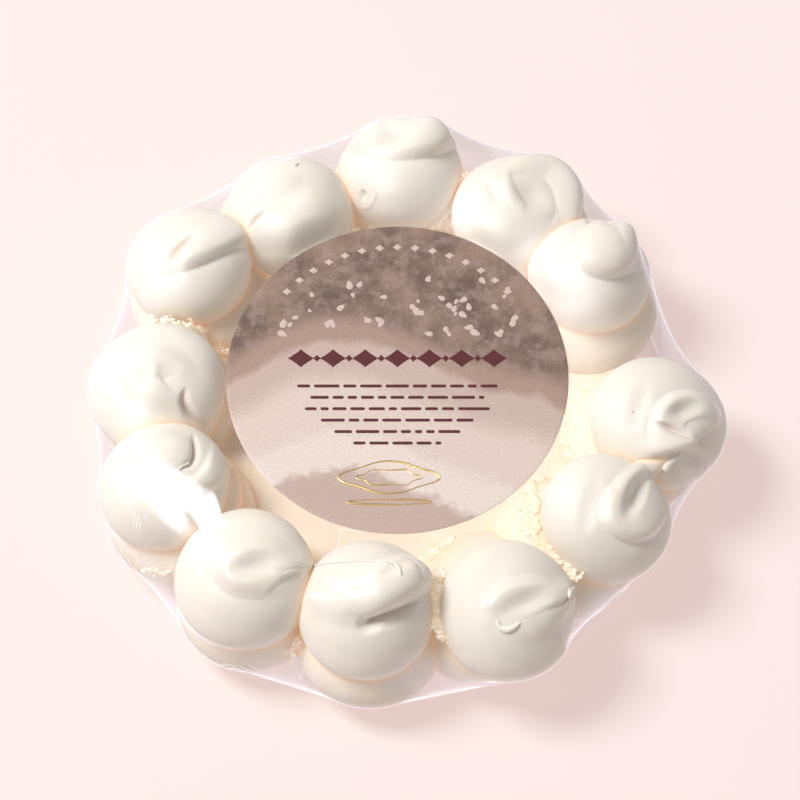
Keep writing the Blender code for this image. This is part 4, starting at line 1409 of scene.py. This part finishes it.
def pleat(edges, steps, across):
    """A flat fold of film: between two smooth edges, a skin lifted a third of a millimetre in the
    middle and closed by a second skin just above the film."""
    outer, inner = (smooth_curve([(*place, 0) for place in edge], steps)[:, None, :2] for edge in edges)
    share = np.linspace(0, 1, across)[None, :, None]
    places = outer + (inner - outer) * share
    swell = 0.12 + 0.30 * np.sin(np.pi * share) ** 0.5
    upper = on_film(places[..., 0], places[..., 1], "reach", swell)
    lower = on_film(places[..., 0], places[..., 1], "reach", 0.08)
    rings = np.concatenate([upper, lower[:, ::-1]], axis=1)
    first, last = rings[:1].mean(1, keepdims=True), rings[-1:].mean(1, keepdims=True)
    ends = np.ones((1, 2 * across, 1))
    return np.concatenate([first * ends, rings, last * ends])


def pleat_highlight_strength(steps, across):
    """How strongly the pleat's painted highlight shows: fading in along its first third and towards both
    edges, over half its width where it starts and over a tenth where it ends."""
    along = np.concatenate([[0], np.linspace(0, 1, steps), [1]])[:, None]
    share = np.linspace(0, 1, across)
    share = np.concatenate([share, share[::-1]])[None]
    edge = np.clip(np.minimum(share, 1 - share) / (0.5 - 0.4 * along), 0, 1)
    start = np.clip(along / 0.35, 0, 1)
    return edge * edge * (3 - 2 * edge) * start


# The pleat's pale, streaky colour and white glow are a painted highlight: the softbox's broad reflection on
# the film.
pleat_highlight_material, pleat_highlight_tree, pleat_highlight_shader, pleat_highlight_place = new_material("doubled_film_highlight")
streaks = noise(pleat_highlight_tree, pleat_highlight_place, 160.0, 2.0, 0.5)
pleat_highlight_tree.links.new(
    mixed(pleat_highlight_tree, rescaled(pleat_highlight_tree, streaks, 0.35, 0.6), (0.80, 0.81, 0.88), (0.97, 0.97, 0.98)),
    pleat_highlight_shader.inputs["Base Color"],
)
pleat_highlight_shader.inputs["Roughness"].default_value = 0.25
pleat_highlight_shader.inputs["Emission Color"].default_value = (1.0, 1.0, 1.0, 1.0)
pleat_highlight_shader.inputs["Emission Strength"].default_value = 0.25
patchy = rescaled(pleat_highlight_tree, streaks, 0.3, 0.62, 0.35, 0.7)
pleat_highlight_tree.links.new(
    maths(pleat_highlight_tree, "MULTIPLY", marked(pleat_highlight_tree, "strength"), patchy), pleat_highlight_shader.inputs["Alpha"]
)
film_pleat_highlight = put_globe(
    "film_pleat_highlight", pleat(PLEAT_EDGES, 70, 14), pleat_highlight_material, {"strength": pleat_highlight_strength(70, 14)}
)
print("pleat faces:", len(film_pleat_highlight.data.polygons))

# %% Wrinkles and scratches
LINES_BY_REACH = [  # thickness, places (bearing, distance)
    *[(0.10, [(b, 110.2 + 0.5 * (b % 2)), (b + 0.7, 111.6), (b + 1.3, 113)]) for b in range(-157, -148)],
    (0.10, [(-149, 108), (-148.2, 108.8)]),
    (0.12, [(-110, 113), (-107, 116.5), (-103, 119.3)]),
]
LINES_BY_HEIGHT = [  # thickness, places (bearing, height)
    (0.15, [(-127, 18), (-124, 13), (-121.5, 12), (-120, 7), (-118, 4)]),
    (0.13, [(-126, 12), (-124, 15), (-122, 13.5), (-121, 17), (-118.5, 15)]),
    (0.13, [(-122.5, 20), (-121, 15), (-119.5, 13), (-120, 9), (-117.5, 8)]),
    (0.13, [(-121, 21), (-118, 17), (-116.5, 12), (-115, 9)]),
    (0.12, [(-119, 22), (-116.6, 19), (-116, 14), (-113.5, 11), (-113, 6)]),
    (0.12, [(-124, 8), (-122.6, 5), (-121, 7), (-119.5, 4.5)]),
    (0.12, [(-117.5, 20), (-119, 16), (-121, 19), (-123, 17)]),
    (0.12, [(-115, 6), (-117, 4.5), (-120, 5.5), (-123, 3.5)]),
    (0.14, [(-150, 22), (-143, 15), (-136, 11.5), (-129, 8)]),
    (0.12, [(-139, 16), (-133, 13), (-128, 8.5), (-124, 6)]),
    (0.16, [(-90, 17), (-85, 12), (-80, 5)]),
    (0.14, [(-62, 14), (-57, 8), (-52, 8), (-46, 11)]),
    (0.14, [(-41, 12), (-36, 8), (-31, 9)]),
    (0.12, [(-22, 20), (-18, 14), (-14, 11)]),
]


def film_line(thickness, places, measure):
    """A fine rib in the film along a smooth curve of places, thinning out at both ends."""
    curve = smooth_curve([(*place, 0) for place in places], 40)
    line = on_film(curve[:, 0], curve[:, 1], measure, 0.15)
    swell = np.sin(np.pi * np.linspace(0.06, 0.94, 40)) ** 0.5
    return tube(line, thickness * swell, 8)


ribs = [film_line(thickness, places, "reach") for thickness, places in LINES_BY_REACH]
ribs += [film_line(thickness, places, "height") for thickness, places in LINES_BY_HEIGHT]
# The wrinkles and lines are pale and glow faintly: a painted glint along each.
rib_glint_material, _, rib_glint_shader, _ = new_material("film_rib_glint")
rib_glint_shader.inputs["Base Color"].default_value = (0.90, 0.90, 0.96, 1.0)
rib_glint_shader.inputs["Roughness"].default_value = 0.25
rib_glint_shader.inputs["Alpha"].default_value = 0.6
rib_glint_shader.inputs["Emission Color"].default_value = (1.0, 0.98, 1.0, 1.0)
rib_glint_shader.inputs["Emission Strength"].default_value = 0.30
film_ribs = put_mesh("film_wrinkles", *joined(ribs), rib_glint_material)
for piece in (shrink_film, film_pleat_highlight, film_ribs):
    piece.visible_shadow = False
    piece.visible_diffuse = False
print("film wrinkles and lines:", len(ribs))

# %% [markdown]
# ## Label
#
# A round paper label, printed in sepia. The print is a generic one: soft fields of colour like dusk
# over pale ground, with pale petals strewn over them. Over it lie plain maroon shapes of ink and a
# gold foil ring, each a thin raised sheet, so that their edges stay sharp.

# %% Label paper
LABEL_THICKNESS = 0.25
PETALS = 46


def sheet_height(x, y):
    """The height of the label's top: a few slow waves of a twentieth of a millimetre."""
    waves = 0.05 * np.sin(x / 13 + y / 17) * np.sin(y / 11 - 1.0)
    return label_underside + LABEL_THICKNESS + waves * (np.hypot(x, y) / label_radius) ** 2


def label_sheet():
    """A thin disc on a polar grid, with a rounded edge."""
    turn = np.arange(256) * 2 * np.pi / 256
    along = np.concatenate([np.linspace(0, 1, 40)[:-1], [0.998, 1.0]])[:, None]
    reach = label_radius * along * np.ones_like(turn)
    x, y = LABEL_OFF_MIDDLE[0] + reach * np.cos(turn), LABEL_OFF_MIDDLE[1] + reach * np.sin(turn)
    drop = np.where(along >= 1.0, 0.06, 0.0)
    upper = np.stack([x, y, sheet_height(x, y) - drop], -1)
    lower = upper[::-1].copy()
    lower[..., 2] -= LABEL_THICKNESS - 2 * drop[::-1]
    return np.concatenate([upper, lower])


def label_material():
    """Sepia print on paper under gloss: fields of colour between wavy heights, and soft grain."""
    material, tree, shader, place = new_material("label_print")
    centre = ring_middle[:2] + LABEL_OFF_MIDDLE
    mapping = tree.nodes.new("ShaderNodeMapping")
    mapping.inputs["Location"].default_value = (-centre[0], -centre[1], 0.0)
    mapping.inputs["Scale"].default_value = (1000.0, 1000.0, 0.0)
    tree.links.new(place, mapping.inputs["Vector"])
    sheet = mapping.outputs["Vector"]
    split = tree.nodes.new("ShaderNodeSeparateXYZ")
    tree.links.new(sheet, split.inputs[0])
    x, y = split.outputs["X"], split.outputs["Y"]
    cloud = noise(tree, sheet, 0.045, 4.0, 0.6)
    blot = noise(tree, sheet, 0.16, 3.0, 0.65)
    grain = noise(tree, sheet, 1.1, 3.0, 0.7)
    dusk = mixed(tree, rescaled(tree, cloud, 0.36, 0.64), (0.16, 0.112, 0.095), (0.31, 0.212, 0.168))
    dusk = mixed(tree, rescaled(tree, blot, 0.42, 0.66, 0.0, 0.55), dusk, (0.40, 0.29, 0.26))
    swing = maths(tree, "SINE", maths(tree, "MULTIPLY", x, 0.055))
    level = maths(tree, "MULTIPLY_ADD", swing, 6.0, y)
    level = maths(tree, "MULTIPLY_ADD", cloud, 12.0, level)
    level = maths(tree, "MULTIPLY_ADD", maths(tree, "MULTIPLY", x, x), 0.0045, level)
    level = maths(tree, "MULTIPLY_ADD", x, 0.10, level)
    colour = mixed(tree, rescaled(tree, level, 30.0, 21.0), dusk, (0.40, 0.28, 0.235))
    colour = mixed(tree, rescaled(tree, level, 19.0, 14.0), colour, (0.56, 0.43, 0.38))
    colour = mixed(tree, rescaled(tree, level, 8.0, -6.0), colour, (0.70, 0.575, 0.53))
    pale = maths(tree, "MULTIPLY_ADD", blot, 9.0, level)
    colour = mixed(tree, rescaled(tree, pale, -14.0, -22.0), colour, (0.76, 0.655, 0.61))
    colour = mixed(tree, rescaled(tree, pale, -30.0, -35.0), colour, (0.53, 0.40, 0.36))
    speckle = rescaled(tree, grain, 0.32, 0.68, 0.90, 1.07)
    tint = tree.nodes.new("ShaderNodeVectorMath")
    tint.operation = "SCALE"
    tree.links.new(colour, tint.inputs[0])
    tree.links.new(speckle, tint.inputs["Scale"])
    tree.links.new(tint.outputs[0], shader.inputs["Base Color"])
    shader.inputs["Roughness"].default_value = 0.38
    shader.inputs["Specular IOR Level"].default_value = 0.3
    return material


paper_label = put_globe("paper_label", label_sheet(), label_material())
paper_label.visible_shadow = False
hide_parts("label")
print("label radius", round(label_radius, 1), "mm")

# %% Printed shapes
INK_LIFT = 0.07


def flat_shape(outline, lift):
    """A thin raised sheet within a closed outline: rings that shrink towards its middle, on the
    label's top, and the same again underneath."""
    outline = np.asarray(outline, float)
    middle = outline.mean(0)
    rings = middle + (outline - middle)[None] * np.array([0, 0.5, 0.96, 1.0])[:, None, None]
    rings = rings + LABEL_OFF_MIDDLE
    tops = sheet_height(rings[..., 0], rings[..., 1]) + lift * np.array([1, 1, 1, 0.6])[:, None]
    upper = np.concatenate([rings, tops[..., None]], -1)
    lower = upper[::-1] - [0, 0, 0.03]
    return np.concatenate([upper, lower])


def lozenge(x, y, wide, tall):
    """A diamond with slightly hollow sides: cos and sin raised to the power 2.2, signs kept."""
    turn = np.arange(48) * 2 * np.pi / 48
    cos, sin = np.cos(turn), np.sin(turn)
    across, along = np.sign(cos) * abs(cos) ** 2.2, np.sign(sin) * abs(sin) ** 2.2
    return np.stack([x + wide * across, y + tall * along], -1)


def rule(x, y, half, thick):
    """A straight bar with round ends."""
    turn = np.arange(32) * 2 * np.pi / 32
    side = np.sign(np.cos(turn)) * half
    return np.stack([x + side + thick * np.cos(turn), y + thick * np.sin(turn)], -1)


def petal(x, y, size, heading):
    """A plump drop: a circle narrowed towards one end and turned to its heading."""
    turn = np.arange(24) * 2 * np.pi / 24
    along, across = np.cos(turn), np.sin(turn) * (0.62 + 0.25 * np.cos(turn))
    cos, sin = math.cos(heading), math.sin(heading)
    return np.stack([x + size * (along * cos - across * sin), y + size * (along * sin + across * cos)], -1)


def loop(x, y, wide, tall, thick, waves):
    """A foil ring as a tube laid flat: an oval whose radius swells in a few waves."""
    turn = np.linspace(0, 2 * np.pi, 181)
    swell = 1 + 0.10 * np.cos(waves * turn)
    px = LABEL_OFF_MIDDLE[0] + x + wide * swell * np.cos(turn)
    py = LABEL_OFF_MIDDLE[1] + y + tall * swell * np.sin(turn)
    line = np.stack([px, py, sheet_height(px, py) + 0.05], -1)
    return tube(line, thick * (0.75 + 0.25 * np.sin(turn * 2)), 10)


inked = [lozenge(x, 8, 5.0, 3.8) for x in range(-36, 37, 12)]
inked += [lozenge(x, 8, 1.5, 1.5) for x in range(-30, 31, 12)]
bar_draw = np.random.default_rng(8)
for row, half in enumerate((38, 33, 35, 29, 24, 17)):
    stops = -half + np.cumsum(bar_draw.uniform(4, 11, 30))
    stops = np.concatenate([[-half], stops[stops < half - 3], [half]])
    bars = zip((stops[1:] + stops[:-1]) / 2, np.diff(stops) / 2)
    inked += [rule(middle, -3.5 - 4.7 * row, long - 1.3, 0.62) for middle, long in bars]
ink = [flat_shape(outline, INK_LIFT) for outline in inked]
ink_material, _, ink_shader, _ = new_material("maroon_ink")
petal_draw = np.random.default_rng(21)
petal_rows = petal_draw.uniform((-44, 18, 0.8, 0), (44, 42, 2.0, 6.28), (PETALS, 4))
petals = [flat_shape(petal(*row), INK_LIFT) for row in petal_rows]
petals += [
    flat_shape(lozenge(55 * math.sin(a), 55 * math.cos(a), 1.8, 1.4), INK_LIFT)
    for a in np.radians(np.arange(-49, 50, 7))
]
petal_material, _, petal_shader, _ = new_material("pale_print")
foil = [loop(x, y, wide, tall, thick, waves) for x, y, wide, tall, thick, waves in (
    (-3, -41, 17, 6.0, 0.46, 4), (-3, -41, 11, 3.2, 0.34, 6), (-3, -51, 14, 1.1, 0.42, 2),
)]
foil_material, _, foil_shader, _ = new_material("gold_foil")
for name, grids, material, shader, colour, rough, metallic in (
    ("label_ink", ink, ink_material, ink_shader, (0.105, 0.022, 0.028), 0.4, 0.0),
    ("label_petals", petals, petal_material, petal_shader, (0.62, 0.49, 0.45), 0.4, 0.0),
    ("label_foil", foil, foil_material, foil_shader, (0.66, 0.50, 0.22), 0.42, 1.0),
):
    shader.inputs["Base Color"].default_value = (*colour, 1.0)
    shader.inputs["Roughness"].default_value = rough
    shader.inputs["Metallic"].default_value = metallic
    piece = put_mesh(name, *joined(grids), material)
    piece.visible_shadow = False
print("printed shapes:", len(ink), "ink,", len(petals), "petals,", len(foil), "foil")

# %% [markdown]
# ## Floor of the studio
#
# A plain sheet, far larger than the view. It reflects little light and glows a pale pink by itself,
# as paper on a light table does, so the shadow on it is a soft rose.

# %% Studio floor
sheet_mesh = bpy.data.meshes.new("studio_floor")
side = 6.0
drop = -0.0002
sheet_mesh.from_pydata(
    [(-side, -side, drop), (side, -side, drop), (side, side, drop), (-side, side, drop)], [], [(0, 1, 2, 3)]
)
studio_floor = bpy.data.objects.new("studio_floor", sheet_mesh)
bpy.context.scene.collection.objects.link(studio_floor)
floor_paper, floor_tree, floor_shader, _ = new_material("studio_sheet")
floor_shader.inputs["Base Color"].default_value = (0.335, 0.35, 0.345, 1.0)
floor_shader.inputs["Roughness"].default_value = 0.9
floor_shader.inputs["Specular IOR Level"].default_value = 0.1
floor_shader.inputs["Emission Color"].default_value = (0.607, 0.458, 0.439, 1.0)
floor_shader.inputs["Emission Strength"].default_value = 1.0
sheet_mesh.materials.append(floor_paper)
print("studio floor", 2 * side, "m wide")
